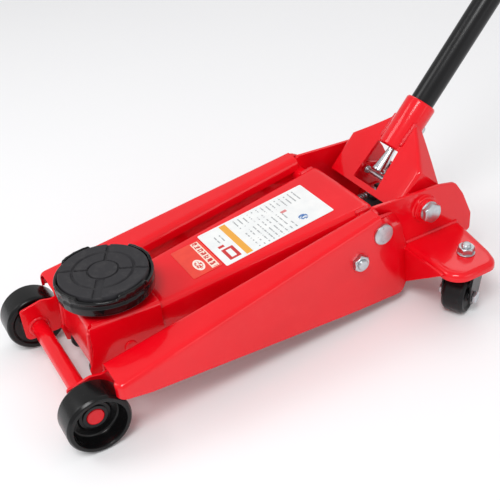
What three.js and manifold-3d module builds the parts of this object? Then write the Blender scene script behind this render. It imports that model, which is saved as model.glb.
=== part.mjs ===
// Hydraulic floor jack, 3 tonne class, with the arm lowered and the handle raised to its resting slope.
// Millimetres, +X towards the handle, +Y towards the jack's right side, +Z up, floor at Z = 0.
// Shapes are laid out from the front axle, at X = 0, and the whole is then moved so that the
// middle of its footprint lies at the origin.
import * as THREE from 'three';
import { mergeVertices } from 'three/addons/utils/BufferGeometryUtils.js';
import Module from 'manifold-3d';

const wasm = await Module();
wasm.setup();

// Driving dimensions
const GAP = 0.3; // clearance between neighbouring pieces
const SHEET = 4; // side member and bracket sheet thickness

const WHEEL = {
  radius: 38, width: 37, outerY: 127, tread: 7, boreRadius: 11, hubRadius: 17, recess: 20, hubRise: 1.5,
};
const AXLE = { radius: 10.5, z: 38, endY: 111.5 };

const SIDE = {
  webY: 82.5, noseX: -19, flangeX: 29, flangeEndX: 393, skirtEndX: 430,
  skirtY: 129.3, taper: 0.0713, topZ: 80, rise: 0.1726, cornerRadius: 12,
};
const REAR_PLATE = { outerY: 87.5, thickness: 5 };
const CROSS_BAR = { x: 230, z: 50 };
const SHELF = {
  topZ: 77, thickness: 6, frontX: 443, rearX: 535, outerRearX: 519, outerY: 187, cornerRadius: 26,
};

const ARM_PIVOT = { x: 395, z: 121, shaftRadius: 11, headRadius: 13.5 };
const NOSE_PIN = { x: 73, z: 62, radius: 8 };
const ROD_OFFSET = { x: -37, z: -25 }; // from each arm pivot to the rod pivot that shadows it
const ROD_PIN_RADIUS = 7;
const ARM = { frontX: 66, rearX: 411, frontHalf: 41.4, rearHalf: 67, topZ: 92, rise: 0.13 };
const CRANK = { radius: 38, restAngle: 36, pinRadius: 6.5, cheekY: 13, cheekWidth: 7 };

const NOSE = { half: 51, frontX: 29, rearX: 118, topZ: 112 };
const SADDLE = { x: 73, z: 114, cupRadius: 59, padRadius: 53.5, topZ: 143.5, turn: -30 };

const YOKE_PIVOT = { x: 475, z: 119 };
const HANDLE_SLOPE = 48; // degrees above the floor
const YOKE = { half: 73, plateX: -26, sheet: 5, lowZ: -21, sideZ: 35, apexZ: 84, apexHalf: 20, wingX: 16 };
const SOCKET = { x: -16, radius: 21, bore: 16.5, lowZ: 45, topZ: 114 };
const HANDLE = { radius: 16, lowZ: 52, jointZ: 560, topZ: 1010, gripZ: 880, gripRadius: 18.5 };

const RAM = { z: 83, radius: 8.5, barrelRadius: 17, frontX: 438, blockX: 484 };
const PUMP = { x: 507, roller: 8, rollerZ: 121, headZ: 111.5 };
const BLOCK = { x0: 484, x1: 546, half: 42, z0: 44, z1: 78 };

const CASTER = { x: 492, y: 150, trail: 14, turn: 65, wheelRadius: 25, wheelWidth: 29, half: 20 };

const SIDES = [['left', -1], ['right', 1]];
const END_X = YOKE_PIVOT.x + HANDLE.topZ * Math.cos(rad(HANDLE_SLOPE))
  + (SOCKET.x + HANDLE.gripRadius) * Math.sin(rad(HANDLE_SLOPE));
const MIDDLE_X = (END_X - WHEEL.radius) / 2;

// Materials
const paint = (color, roughness, metalness = 0) => () =>
  new THREE.MeshStandardMaterial({ color, roughness, metalness });
const red = paint(0xd8121c, 0.3);
const blackGloss = paint(0x141416, 0.25);
const blackTube = paint(0x1d1d1f, 0.4);
const rubber = paint(0x3b393b, 0.8);
const zinc = paint(0xc9ced2, 0.35, 0.9);
const steel = paint(0x9a9da0, 0.4, 0.9);
const iron = paint(0x2e2f31, 0.6, 0.4);
const white = paint(0xf1f1ee, 0.5);

// Helpers: solids, booleans and placing
function rad(degrees) {
  return THREE.MathUtils.degToRad(degrees);
}

function solid(geometry) {
  const bare = geometry.index ? geometry.toNonIndexed() : geometry.clone();
  bare.deleteAttribute('normal');
  bare.deleteAttribute('uv');
  const merged = mergeVertices(bare, 1e-4);
  return new wasm.Manifold(new wasm.Mesh({
    numProp: 3,
    vertProperties: new Float32Array(merged.attributes.position.array),
    triVerts: new Uint32Array(merged.index.array),
  }));
}

function geometryOf(body) {
  const mesh = body.getMesh();
  const geometry = new THREE.BufferGeometry();
  geometry.setAttribute('position', new THREE.BufferAttribute(new Float32Array(mesh.vertProperties), 3));
  geometry.setIndex(new THREE.BufferAttribute(new Uint32Array(mesh.triVerts), 1));
  return geometry;
}

const join = (first, ...rest) => rest.reduce((sum, piece) => sum.add(piece), first);
const cut = (first, ...rest) => rest.reduce((left, piece) => left.subtract(piece), first);

function box(x0, x1, y0, y1, z0, z1) {
  const geometry = new THREE.BoxGeometry(x1 - x0, y1 - y0, z1 - z0);
  return solid(geometry.translate((x0 + x1) / 2, (y0 + y1) / 2, (z0 + z1) / 2));
}

// A round bar between two stations on the Y, Z or X axis, through the other two coordinates
function barY(radius, y0, y1, x, z, sides = 16) {
  const geometry = new THREE.CylinderGeometry(radius, radius, y1 - y0, sides);
  return solid(geometry.translate(x, (y0 + y1) / 2, z));
}

function barZ(radius, z0, z1, x, y, sides = 16, topRadius = radius) {
  const geometry = new THREE.CylinderGeometry(topRadius, radius, z1 - z0, sides);
  return solid(geometry.rotateX(Math.PI / 2).translate(x, y, (z0 + z1) / 2));
}

function barX(radius, x0, x1, y, z, sides = 16) {
  const geometry = new THREE.CylinderGeometry(radius, radius, x1 - x0, sides);
  return solid(geometry.rotateZ(Math.PI / 2).translate((x0 + x1) / 2, y, z));
}

// Outlines: [x, y] corners, with an optional third value that rounds the corner
function outline(corners) {
  const shape = new THREE.Shape();
  corners.forEach(([x, y, radius = 0], i) => {
    const here = new THREE.Vector2(x, y);
    const before = new THREE.Vector2(...corners.at(i - 1)).sub(here);
    const after = new THREE.Vector2(...corners[(i + 1) % corners.length]).sub(here);
    const start = here.clone().add(before.setLength(radius));
    const end = here.clone().add(after.setLength(radius));
    if (i === 0) shape.moveTo(start.x, start.y);
    else shape.lineTo(start.x, start.y);
    if (radius > 0) shape.quadraticCurveTo(x, y, end.x, end.y);
  });
  return shape;
}

const extrude = (corners, depth) =>
  new THREE.ExtrudeGeometry(outline(corners), { depth, bevelEnabled: false, curveSegments: 3 });

// A plate with its outline in X and Z, from y0 to y1, and one with its outline
// in X and Y, from z0 to z1. A slope matrix, where there is one, leans the plate along X
function plateY(corners, y0, y1, slope = new THREE.Matrix4()) {
  return solid(extrude(corners, y1 - y0).rotateX(Math.PI / 2).translate(0, y1, 0).applyMatrix4(slope));
}

function plateZ(corners, z0, z1, slope = new THREE.Matrix4()) {
  return solid(extrude(corners, z1 - z0).translate(0, 0, z0).applyMatrix4(slope));
}

// The matrices that add amount * (x - start) to a plate's Y or Z
const slopeY = (amount, start) => new THREE.Matrix4().set(
  1, 0, 0, 0, amount, 1, 0, -amount * start, 0, 0, 1, 0, 0, 0, 0, 1,
);
const slopeZ = (amount, start) => new THREE.Matrix4().set(
  1, 0, 0, 0, 0, 1, 0, 0, amount, 0, 1, -amount * start, 0, 0, 0, 1,
);

function lathe(profile, sides = 16) {
  const points = profile.map(([r, z]) => new THREE.Vector2(r, z));
  return new THREE.LatheGeometry(points, sides).rotateX(Math.PI / 2);
}

function hexPrism(acrossFlats, z0, z1) {
  return barZ(acrossFlats / Math.sqrt(3), z0, z1, 0, 0, 6);
}

// The mirror image across the jack's middle plane, with its triangles turned to face out again
function mirrorY(geometry) {
  geometry.scale(1, -1, 1);
  const { array } = geometry.index;
  for (let i = 0; i < array.length; i += 3) [array[i], array[i + 1]] = [array[i + 1], array[i]];
  return geometry;
}

const jack = new THREE.Group();
jack.position.set(-MIDDLE_X, 0, 0);

function add(name, shape, material, parent = jack) {
  const geometry = shape.isBufferGeometry ? shape : geometryOf(shape);
  const mesh = new THREE.Mesh(geometry, material());
  mesh.name = name;
  parent.add(mesh);
  return mesh;
}

// A left-hand shape as it is, and its mirror image for the right-hand side
const onSide = (side, leftShape) => (side < 0 ? leftShape : mirrorY(geometryOf(leftShape)));

// Side members: an inner web, a sloping top flange and a tapering outer skirt pressed from one
// sheet, carried back into the rear plate that holds the handle yoke
const flangeZ = (x) => SIDE.topZ + SIDE.rise * (x - SIDE.flangeX);
const skirtY = (x) => SIDE.skirtY - SIDE.taper * (x - SIDE.flangeX);

const MEMBER_BOTTOM = [[SIDE.skirtEndX, 15], [200, 40], [60, 57.5], [32, 63]];

function sideMember() {
  const front = SIDE.flangeX;
  const end = SIDE.skirtEndX;
  const web = plateY([
    [SIDE.noseX, 68, 4], [12, 74, 4], [front, flangeZ(front)], [end, flangeZ(end)],
    [end, 22], [200, 40], [60, 52], [22, 22, 12], [SIDE.noseX, 22, 8],
  ], -SIDE.webY - SHEET, -SIDE.webY);
  const flange = plateZ([
    [front, -SIDE.webY], [SIDE.flangeEndX, -SIDE.webY],
    [SIDE.flangeEndX, -skirtY(SIDE.flangeEndX)], [front, -skirtY(front), SIDE.cornerRadius],
  ], SIDE.topZ - SHEET, SIDE.topZ, slopeZ(SIDE.rise, front));
  const skirt = plateY([
    [front, flangeZ(front), 3], [SIDE.flangeEndX, flangeZ(SIDE.flangeEndX)],
    [end, 120], ...MEMBER_BOTTOM,
  ], -SIDE.skirtY, -SIDE.skirtY + SHEET, slopeY(SIDE.taper, front));
  const rear = plateY([
    [392, 149, 5], [500, 143, 4], [526, 138, 8], [540, 117, 4], [556, 82, 8], [556, 55, 5], [500, 50],
    [414, 24], [392, 100],
  ], -REAR_PLATE.outerY, -REAR_PLATE.outerY + REAR_PLATE.thickness);
  const rib = box(425, end, -skirtY(end) + 1, -SIDE.webY - 1, 24, 118);
  const bolt = YOKE_PIVOT;
  const bosses = join(
    barY(18, -93, -REAR_PLATE.outerY + 1, bolt.x, bolt.z),
    barY(14.5, -98, -YOKE.half - 2, bolt.x, bolt.z),
    barY(12, -107, -skirtY(358) + 1, ARM_PIVOT.x + ROD_OFFSET.x, ARM_PIVOT.z + ROD_OFFSET.z),
  );
  const holes = join(
    barY(8 + GAP, -120, -60, bolt.x, bolt.z),
    barY(ARM_PIVOT.shaftRadius + GAP, -120, -60, ARM_PIVOT.x, ARM_PIVOT.z),
    barY(ROD_PIN_RADIUS + GAP, -120, -60, ARM_PIVOT.x + ROD_OFFSET.x, ARM_PIVOT.z + ROD_OFFSET.z),
    barY(AXLE.radius + GAP, -120, -60, 0, AXLE.z),
    barY(6 + GAP, -120, -60, CROSS_BAR.x, CROSS_BAR.z),
  );
  return cut(join(web, flange, skirt, rear, rib, bosses), holes);
}

// Caster shelf: a level plate with round outer corners and a rolled-down rim
function casterShelf() {
  const inner = -REAR_PLATE.outerY - GAP;
  const round = SHELF.cornerRadius;
  const corners = (inset) => [
    [SHELF.frontX + inset, inner], [SHELF.rearX - inset, inner],
    [SHELF.outerRearX - inset, -SHELF.outerY + inset, round - inset],
    [SHELF.frontX + inset, -SHELF.outerY + inset, round - inset],
  ];
  const top = plateZ(corners(0), SHELF.topZ - SHELF.thickness, SHELF.topZ);
  const rim = cut(plateZ(corners(0), SHELF.topZ - 11, SHELF.topZ - 2), plateZ(corners(SHEET), 0, 200));
  const gusset = plateY([[442, 78], [446, 78], [446, 40, 3], [432, 36, 3]], inner - 45, inner);
  const slope = solid(new THREE.BoxGeometry(60, 120, 60).rotateX(rad(-35)).translate(435, inner - 66, 24));
  const hole = barZ(6 + GAP, 0, 200, CASTER.x, -CASTER.y);
  return cut(join(top, rim, cut(gusset, slope)), hole);
}

for (const [name, side] of SIDES) {
  add(`side_member_${name}`, onSide(side, sideMember()), red);
  add(`caster_shelf_${name}`, onSide(side, casterShelf()), red);
}

// Front axle, wheels and the rings that keep them on
add('front_axle', barY(AXLE.radius, -AXLE.endY, AXLE.endY, 0, AXLE.z), red);

function frontWheel() {
  const w = WHEEL;
  const inner = -w.width / 2;
  const outer = w.width / 2;
  const face = outer - w.recess;
  return lathe([
    [w.boreRadius, inner], [w.radius - 2, inner], [w.radius, inner + 2], [w.radius, outer - 2],
    [w.radius - 2, outer], [w.radius - w.tread + 1, outer], [w.radius - w.tread - 1, face],
    [w.hubRadius + 2, face], [w.hubRadius, face + w.hubRise], [w.boreRadius, face + w.hubRise],
    [w.boreRadius, inner],
  ], 28);
}

for (const [name, side] of SIDES) {
  const hubY = side * (WHEEL.outerY - WHEEL.width / 2);
  const wheel = add(`front_wheel_${name}`, frontWheel(), blackGloss);
  wheel.position.set(0, hubY, AXLE.z);
  wheel.rotation.x = -side * Math.PI / 2;
  const ringY = WHEEL.outerY - WHEEL.recess + WHEEL.hubRise + GAP;
  const inside = AXLE.radius + GAP;
  const profile = lathe([[inside, 0], [15, 0], [15, 1.6], [inside, 1.6], [inside, 0]]);
  const ring = add(`wheel_ring_${name}`, profile, iron);
  ring.position.set(0, side * ringY, AXLE.z);
  ring.rotation.x = -side * Math.PI / 2;
}

// Cross members between the side members
const webInner = SIDE.webY - GAP;
add('cross_bar', join(
  barY(6, -webInner - SHEET - 3, webInner + SHEET + 3, CROSS_BAR.x, CROSS_BAR.z),
  barY(9, -webInner, webInner, CROSS_BAR.x, CROSS_BAR.z),
), red);
const plateInner = REAR_PLATE.outerY - REAR_PLATE.thickness - GAP;
add('rear_cross_plate', join(
  box(496, 536, -plateInner, plateInner, 38, BLOCK.z0 - GAP),
  box(496, 536, -plateInner, -plateInner + SHEET, 38, 62),
  box(496, 536, plateInner - SHEET, plateInner, 38, 62),
), red);

// Pivot shaft, rod anchor bolt and yoke bolts
add('arm_shaft', join(
  barY(ARM_PIVOT.shaftRadius, -112, 112, ARM_PIVOT.x, ARM_PIVOT.z),
  ...[-1, 1].map((side) => barY(ARM_PIVOT.headRadius, side < 0 ? -111 : 105, side < 0 ? -105 : 111,
    ARM_PIVOT.x, ARM_PIVOT.z)),
), zinc);
const anchor = { x: ARM_PIVOT.x + ROD_OFFSET.x, z: ARM_PIVOT.z + ROD_OFFSET.z };
add('rod_anchor_bolt', barY(ROD_PIN_RADIUS, -123, 123, anchor.x, anchor.z), zinc);
for (const [name, side] of SIDES) {
  const nutShape = cut(hexPrism(20, 0, 9), barZ(ROD_PIN_RADIUS + GAP, -1, 10, 0, 0));
  const nut = add(`anchor_nut_${name}`, nutShape, zinc);
  nut.position.set(anchor.x, side * (107 + GAP), anchor.z);
  nut.rotation.x = -side * Math.PI / 2;
  const bolt = join(hexPrism(24, 0, 9), barZ(8, -40, 1, 0, 0));
  const head = add(`yoke_bolt_${name}`, bolt, zinc);
  head.position.set(YOKE_PIVOT.x, side * (98 + GAP), YOKE_PIVOT.z);
  head.rotation.x = -side * Math.PI / 2;
}

// Lift arm: an inverted channel that widens towards its pivot
const armTopZ = (x) => ARM.topZ + ARM.rise * (x - ARM.frontX);
const armHalf = (x) => ARM.frontHalf
  + (ARM.rearHalf - ARM.frontHalf) * (x - ARM.frontX) / (ARM.rearX - ARM.frontX);

function liftArm() {
  const { frontX, rearX } = ARM;
  const spread = (ARM.rearHalf - ARM.frontHalf) / (rearX - frontX);
  const top = plateZ([
    [96, -armHalf(96)], [rearX, -ARM.rearHalf, 4], [rearX, ARM.rearHalf, 4], [96, armHalf(96)],
  ], ARM.topZ - SHEET, ARM.topZ, slopeZ(ARM.rise, frontX));
  const wallCorners = [
    [58, 52, 6], [92, 50, 4], [352, 108], [374, 104], [388, 101, 6], [404, 101, 8], [rearX, 118],
    [rearX, armTopZ(rearX)], [96, armTopZ(96)], [60, 78, 8],
  ];
  const wall = (side) => {
    const y0 = side < 0 ? -ARM.frontHalf : ARM.frontHalf - 6;
    return plateY(wallCorners, y0, y0 + 6, slopeY(side * spread, frontX));
  };
  const holes = join(
    barY(ARM_PIVOT.shaftRadius + 2, -120, 120, ARM_PIVOT.x, ARM_PIVOT.z),
    barY(NOSE_PIN.radius + GAP, -120, 120, NOSE_PIN.x, NOSE_PIN.z),
  );
  return cut(join(top, wall(-1), wall(1)), holes);
}
add('lift_arm', liftArm(), red);

// Hub tube and crank cheeks under the pivot, and the pin that the ram pushes
const crankAngle = rad(-90 + CRANK.restAngle);
const crankPin = {
  x: ARM_PIVOT.x + CRANK.radius * Math.cos(crankAngle),
  z: ARM_PIVOT.z + CRANK.radius * Math.sin(crankAngle),
};
const crankTube = () => {
  const cheekShape = (y0) => {
    const web = solid(new THREE.BoxGeometry(CRANK.radius, CRANK.cheekWidth, 18)
      .translate(CRANK.radius / 2, 0, 0).rotateY(-crankAngle)
      .translate(ARM_PIVOT.x, y0 + CRANK.cheekWidth / 2, ARM_PIVOT.z));
    return join(web, barY(11, y0, y0 + CRANK.cheekWidth, crankPin.x, crankPin.z));
  };
  const tube = barY(15, -armHalf(ARM_PIVOT.x) + 8, armHalf(ARM_PIVOT.x) - 8, ARM_PIVOT.x, ARM_PIVOT.z);
  return cut(
    join(tube, cheekShape(CRANK.cheekY), cheekShape(-CRANK.cheekY - CRANK.cheekWidth)),
    barY(ARM_PIVOT.shaftRadius + GAP, -80, 80, ARM_PIVOT.x, ARM_PIVOT.z),
    barY(CRANK.pinRadius + GAP, -80, 80, crankPin.x, crankPin.z),
    box(370, 420, -80, 80, armTopZ(380) - SHEET - GAP, 150),
  );
};
add('arm_crank', crankTube(), iron);
add('crank_pin', barY(CRANK.pinRadius, -24, 24, crankPin.x, crankPin.z), steel);

// Data label on the arm's top, left blank here
const label = add('label_plate', new THREE.BoxGeometry(154, 80, 0.6), white);
label.position.set(289, 0, armTopZ(289) + 0.3 + GAP);
label.rotation.y = -Math.atan(ARM.rise);

// Saddle bracket with its two pins, the radius rods, and the saddle
function saddleBracket() {
  const { half, frontX, rearX, topZ } = NOSE;
  const wallCorners = [
    [frontX, topZ, 5], [rearX, topZ - 5, 2], [rearX - 2, 62, 6], [88, 47, 8], [50, 28, 10], [24, 27, 10],
    [20, 42, 5], [frontX - 1, 78],
  ];
  const wall = (y0) => plateY(wallCorners, y0, y0 + SHEET);
  const top = plateY([[frontX, topZ], [rearX, topZ - 5], [rearX, topZ - 9], [frontX, topZ - 4]],
    -half + 1, half - 1);
  const apron = plateY([[frontX, topZ - 1], [frontX + 4, topZ - 1], [28, 50], [24, 50]], -half + 1, half - 1);
  const holes = join(
    barY(NOSE_PIN.radius + GAP, -80, 80, NOSE_PIN.x, NOSE_PIN.z),
    barY(ROD_PIN_RADIUS + GAP, -80, 80, NOSE_PIN.x + ROD_OFFSET.x, NOSE_PIN.z + ROD_OFFSET.z),
    barZ(9 + GAP, 90, 130, SADDLE.x, 0),
  );
  return cut(join(wall(-half), wall(half - SHEET), top, apron), holes);
}
add('saddle_bracket', saddleBracket(), red);
add('nose_pin', barY(NOSE_PIN.radius, -53, 53, NOSE_PIN.x, NOSE_PIN.z), red);
const rodPin = { x: NOSE_PIN.x + ROD_OFFSET.x, z: NOSE_PIN.z + ROD_OFFSET.z };
add('rod_front_pin', barY(ROD_PIN_RADIUS, -53, 53, rodPin.x, rodPin.z), steel);

function radiusRod() {
  const dx = anchor.x - rodPin.x;
  const dz = anchor.z - rodPin.z;
  const bar = new THREE.BoxGeometry(Math.hypot(dx, dz), 6, 14).rotateY(-Math.atan2(dz, dx))
    .translate((anchor.x + rodPin.x) / 2, 0, (anchor.z + rodPin.z) / 2);
  return cut(
    join(solid(bar), barY(12, -3, 3, anchor.x, anchor.z), barY(12, -3, 3, rodPin.x, rodPin.z)),
    barY(ROD_PIN_RADIUS + GAP, -5, 5, anchor.x, anchor.z),
    barY(ROD_PIN_RADIUS + GAP, -5, 5, rodPin.x, rodPin.z),
  );
}
for (const [name, side] of SIDES) {
  const rod = add(`radius_rod_${name}`, radiusRod(), iron);
  rod.position.y = side * 31;
}

function saddleCup() {
  const { cupRadius, z, topZ } = SADDLE;
  const ring = solid(lathe([
    [0, z], [cupRadius - 6, z], [cupRadius, z + 5], [cupRadius, topZ - 8], [cupRadius - 2, topZ - 5],
    [cupRadius - 4, topZ - 5], [cupRadius - 4, z + 12], [0, z + 12],
  ], 36));
  const lugs = [45, 135, 225, 315].map((degrees) => {
    const arc = new THREE.Shape();
    const half = rad(21);
    arc.absarc(0, 0, cupRadius, -half, half, false);
    arc.absarc(0, 0, cupRadius - 4.5, half, -half, true);
    const lug = new THREE.ExtrudeGeometry(arc, { depth: 9, bevelEnabled: false, curveSegments: 4 });
    return solid(lug.rotateZ(rad(degrees + SADDLE.turn)).translate(0, 0, topZ - 8.5));
  });
  return join(ring, ...lugs);
}

function saddlePad() {
  const { padRadius, z, topZ } = SADDLE;
  const pad = barZ(padRadius, z + 12 + GAP, topZ, 0, 0, 36);
  const slots = [0, 90].map((degrees) => solid(new THREE.BoxGeometry(2 * padRadius + 4, 8, 4)
    .rotateZ(rad(degrees + SADDLE.turn)).translate(0, 0, topZ)));
  const keep = barZ(17, z + 12, topZ + 1, 0, 0, 24);
  return join(cut(pad, ...slots), keep.intersect(pad));
}

const saddle = new THREE.Group();
saddle.position.set(SADDLE.x, 0, 0);
jack.add(saddle);
add('saddle_cup', saddleCup(), blackGloss, saddle);
add('saddle_pad', saddlePad(), rubber, saddle);
add('saddle_stud', join(barZ(9, 92, SADDLE.z - GAP, 0, 0), barZ(14, 92, 99, 0, 0, 6)), steel, saddle);

// Hydraulic unit: block, cylinder barrel with its valve boss, ram, crosshead and pump
function hydraulicBlock() {
  const body = box(BLOCK.x0, BLOCK.x1, -BLOCK.half, BLOCK.half, BLOCK.z0, BLOCK.z1);
  const flange = plateY([[484, 60], [495, 60], [495, 97, 4], [484, 97]], -30, 30);
  const bores = join(
    barX(RAM.radius + 0.6, 470, 492, 0, RAM.z), barZ(7.5, 40, 90, PUMP.x, 0), barZ(5.5, 66, 90, 532, 24),
  );
  return cut(join(body, flange), bores);
}
add('hydraulic_block', hydraulicBlock(), iron);
add('cylinder_barrel', cut(
  join(barX(RAM.barrelRadius, RAM.frontX, RAM.blockX - GAP, 0, RAM.z), barZ(7, 92, 103, 460, 0)),
  barX(RAM.radius + GAP, RAM.frontX - 1, RAM.blockX + 1, 0, RAM.z),
  barZ(4.5 + GAP, 93, 110, 460, 0),
), iron);
add('ram_rod', barX(RAM.radius, crankPin.x + 16 + GAP, 490, 0, RAM.z), steel);

function crosshead() {
  const slot = { half: CRANK.pinRadius + 1.5, up: 14, down: 12 };
  const body = join(
    box(crankPin.x - 12, crankPin.x + 16, -10, 10, RAM.z - 17, RAM.z + 19),
    box(crankPin.x + 12, crankPin.x + 16, -34, 34, RAM.z - 6, RAM.z + 6),
  );
  const opening = box(crankPin.x - slot.half, crankPin.x + slot.half, -12, 12,
    RAM.z - slot.down, RAM.z + slot.up);
  return cut(body, opening);
}
add('crosshead', crosshead(), iron);

function coil(radius, wire, length, turns) {
  const curve = new THREE.Curve();
  curve.getPoint = (t, target = new THREE.Vector3()) => {
    const a = 2 * Math.PI * turns * t;
    return target.set(length * t, radius * Math.cos(a), radius * Math.sin(a));
  };
  const section = new THREE.Shape();
  section.absarc(0, 0, wire, 0, 2 * Math.PI, false);
  return new THREE.ExtrudeGeometry(section,
    { steps: turns * 7, extrudePath: curve, bevelEnabled: false, curveSegments: 2 });
}
for (const [name, side] of SIDES) {
  const spring = add(`return_spring_${name}`, coil(6, 1.2, BLOCK.x0 - crankPin.x - 19, 8), steel);
  spring.position.set(crankPin.x + 17.5, side * 27, RAM.z);
}

add('pump_barrel', cut(barZ(11, BLOCK.z1 + GAP, 82, PUMP.x, 0), barZ(7 + GAP, 70, 90, PUMP.x, 0)), zinc);
add('pump_plunger', join(
  barZ(7, 63, PUMP.headZ - 2, PUMP.x, 0), barZ(11, PUMP.headZ - 4, PUMP.headZ, PUMP.x, 0),
), steel);
const pumpSpring = add('pump_spring', coil(9.6, 1, PUMP.headZ - 4 - 82 - 2.6, 5), steel);
pumpSpring.rotation.y = -Math.PI / 2;
pumpSpring.position.set(PUMP.x, 0, 83.3);
add('filler_plug', join(
  barZ(5, 68, BLOCK.z1 + 1, 532, 24), barZ(9, BLOCK.z1 + GAP, BLOCK.z1 + 6, 532, 24, 6),
), zinc);
add('valve_spindle', join(barZ(4.5, 94, 113, 460, 0), box(457, 463, -9, 9, 106, 111)), zinc);

// Handle yoke, built upright about its pivot with +Z along the handle, then leaned back
const yoke = new THREE.Group();
yoke.position.set(YOKE_PIVOT.x, 0, YOKE_PIVOT.z);
yoke.rotation.y = rad(90 - HANDLE_SLOPE);
jack.add(yoke);

// The roller's place in the yoke's own frame
const lean = rad(90 - HANDLE_SLOPE);
const rollerAt = { x: PUMP.x - YOKE_PIVOT.x, z: PUMP.rollerZ - YOKE_PIVOT.z };
const rollerLocal = {
  x: rollerAt.x * Math.cos(lean) - rollerAt.z * Math.sin(lean),
  z: rollerAt.x * Math.sin(lean) + rollerAt.z * Math.cos(lean),
};

function rollerLug(y) {
  const length = Math.hypot(rollerLocal.x - YOKE.plateX, rollerLocal.z);
  const angle = Math.atan2(rollerLocal.z, rollerLocal.x - YOKE.plateX);
  const bar = new THREE.BoxGeometry(length - 3, 4, 12).translate(length / 2, 0, 0).rotateY(-angle)
    .translate(YOKE.plateX, y, 0);
  return join(solid(bar), barY(9, y - 2, y + 2, rollerLocal.x, rollerLocal.z));
}

// Six-sided front plate, wings that run back from its edges, pivot ears, socket tube and roller lugs
function yokeShell() {
  const { half, plateX, sheet, lowZ, sideZ, apexZ, apexHalf, wingX } = YOKE;
  const hexagon = (inset) => [
    [-half + inset, lowZ - 1], [half - inset, lowZ - 1], [half - inset, sideZ - inset / 2],
    [apexHalf - inset, apexZ], [-apexHalf + inset, apexZ], [-half + inset, sideZ - inset / 2],
  ];
  const asPlate = (corners, x0, x1) => solid(extrude(corners, x1 - x0)
    .rotateX(Math.PI / 2).rotateZ(Math.PI / 2).translate(x0, 0, 0));
  const front = asPlate(hexagon(0), plateX, plateX + sheet);
  const wings = cut(asPlate(hexagon(0), plateX, wingX), asPlate(hexagon(sheet), plateX - 1, wingX + 1));
  const trim = join(
    box(plateX + sheet, 30, -half + sheet, half - sheet, lowZ - 5, lowZ + 10),
    solid(new THREE.BoxGeometry(40, 200, 160).rotateY(rad(-14)).translate(23, 0, 60)),
  );
  const ears = [-half, half - sheet].map((y) => barY(15, y, y + sheet, 0, 0));
  const tube = barZ(SOCKET.radius, SOCKET.lowZ, SOCKET.topZ, SOCKET.x, 0, 24);
  const windowCut = asPlate([[-25, -14], [25, -14], [21, 43, 4], [-21, 43, 4]],
    plateX - 2, plateX + sheet + 2);
  const holes = join(
    barZ(SOCKET.bore, SOCKET.lowZ - 5, SOCKET.topZ + 5, SOCKET.x, 0, 24),
    barY(8 + GAP, -90, 90, 0, 0),
    barY(4 + GAP, -40, 40, rollerLocal.x, rollerLocal.z),
    barY(3 + GAP, -33, 33, -12, 3),
    barX(4 + GAP, SOCKET.x, 20, 0, 84),
  );
  const bent = cut(join(front, wings), trim);
  return cut(join(bent, ...ears, tube, rollerLug(-28), rollerLug(28)), windowCut, holes);
}
add('handle_yoke', yokeShell(), red, yoke);
add('clamp_screw', join(barX(4, 0.8, 14, 0, 84), barX(8, 6, 12, 0, 84)), zinc, yoke);
add('roller_pin', barY(4, -32, 32, rollerLocal.x, rollerLocal.z), steel, yoke);
add('pump_roller', cut(barY(PUMP.roller, -8, 8, rollerLocal.x, rollerLocal.z), barY(4 + GAP, -9, 9,
  rollerLocal.x, rollerLocal.z)), steel, yoke);
add('window_bar', barY(3, -32, 32, -12, 3), zinc, yoke);

// Handle: two tubes that plug together, grip, snap button, and the coupler that turns the valve
const handle = new THREE.Group();
handle.position.set(SOCKET.x, 0, 0);
yoke.add(handle);
const tubeWall = 2.5;
add('handle_lower', cut(
  barZ(HANDLE.radius, HANDLE.lowZ, HANDLE.jointZ, 0, 0, 20),
  barZ(HANDLE.radius - tubeWall, HANDLE.lowZ - 5, HANDLE.jointZ + 5, 0, 0, 20),
  barX(3 + GAP, 5, 20, 0, HANDLE.jointZ - 20, 16),
), blackTube, handle);
const plugRadius = HANDLE.radius - tubeWall - GAP;
add('handle_upper', cut(
  join(
    barZ(HANDLE.radius, HANDLE.jointZ + GAP, HANDLE.topZ - 3, 0, 0, 20),
    barZ(plugRadius, HANDLE.jointZ - 50, HANDLE.jointZ + 2, 0, 0, 20),
  ),
  barZ(plugRadius - tubeWall, HANDLE.jointZ - 60, HANDLE.topZ + 5, 0, 0, 24),
  barX(3 + GAP, 5, 20, 0, HANDLE.jointZ - 20, 16),
), blackTube, handle);
add('snap_button', barX(3, 9, 18, 0, HANDLE.jointZ - 20, 16), zinc, handle);
add('handle_grip', geometryOf(cut(
  barZ(HANDLE.gripRadius, HANDLE.gripZ, HANDLE.topZ, 0, 0, 20),
  barZ(HANDLE.radius + GAP, HANDLE.gripZ - 5, HANDLE.topZ - 3 + GAP, 0, 0, 20),
  barZ(5, HANDLE.topZ - 10, HANDLE.topZ + 5, 0, 0, 16),
)), rubber, handle);
add('release_coupler', join(
  barZ(9, 8, 40, 0, 0, 24, 5),
  barZ(5, 39, 60, 0, 0),
  barZ(plugRadius, 58, 70, 0, 0, 20),
  barZ(8, 7.5, 10, 0, 0),
), zinc, handle);

// Casters: stud and nut on the shelf, a swivelling fork, the wheel and its axle bolt
function casterFork() {
  const plate = barZ(21, 66, 69.5, 0, 0, 24);
  const legCorners = [
    [-15, 68, 3], [15, 68, 3], [9, 56], [-CASTER.trail + 11, 20, 8], [-CASTER.trail - 11, 16, 8],
  ];
  const leg = (y0) => plateY(legCorners, y0, y0 + 3);
  const bridge = box(-14, 14, -CASTER.half, CASTER.half, 61, 66);
  return cut(
    join(plate, bridge, leg(-CASTER.half), leg(CASTER.half - 3)),
    barZ(6 + GAP, 50, 80, 0, 0), barY(4 + GAP, -30, 30, -CASTER.trail, CASTER.wheelRadius),
  );
}

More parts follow.
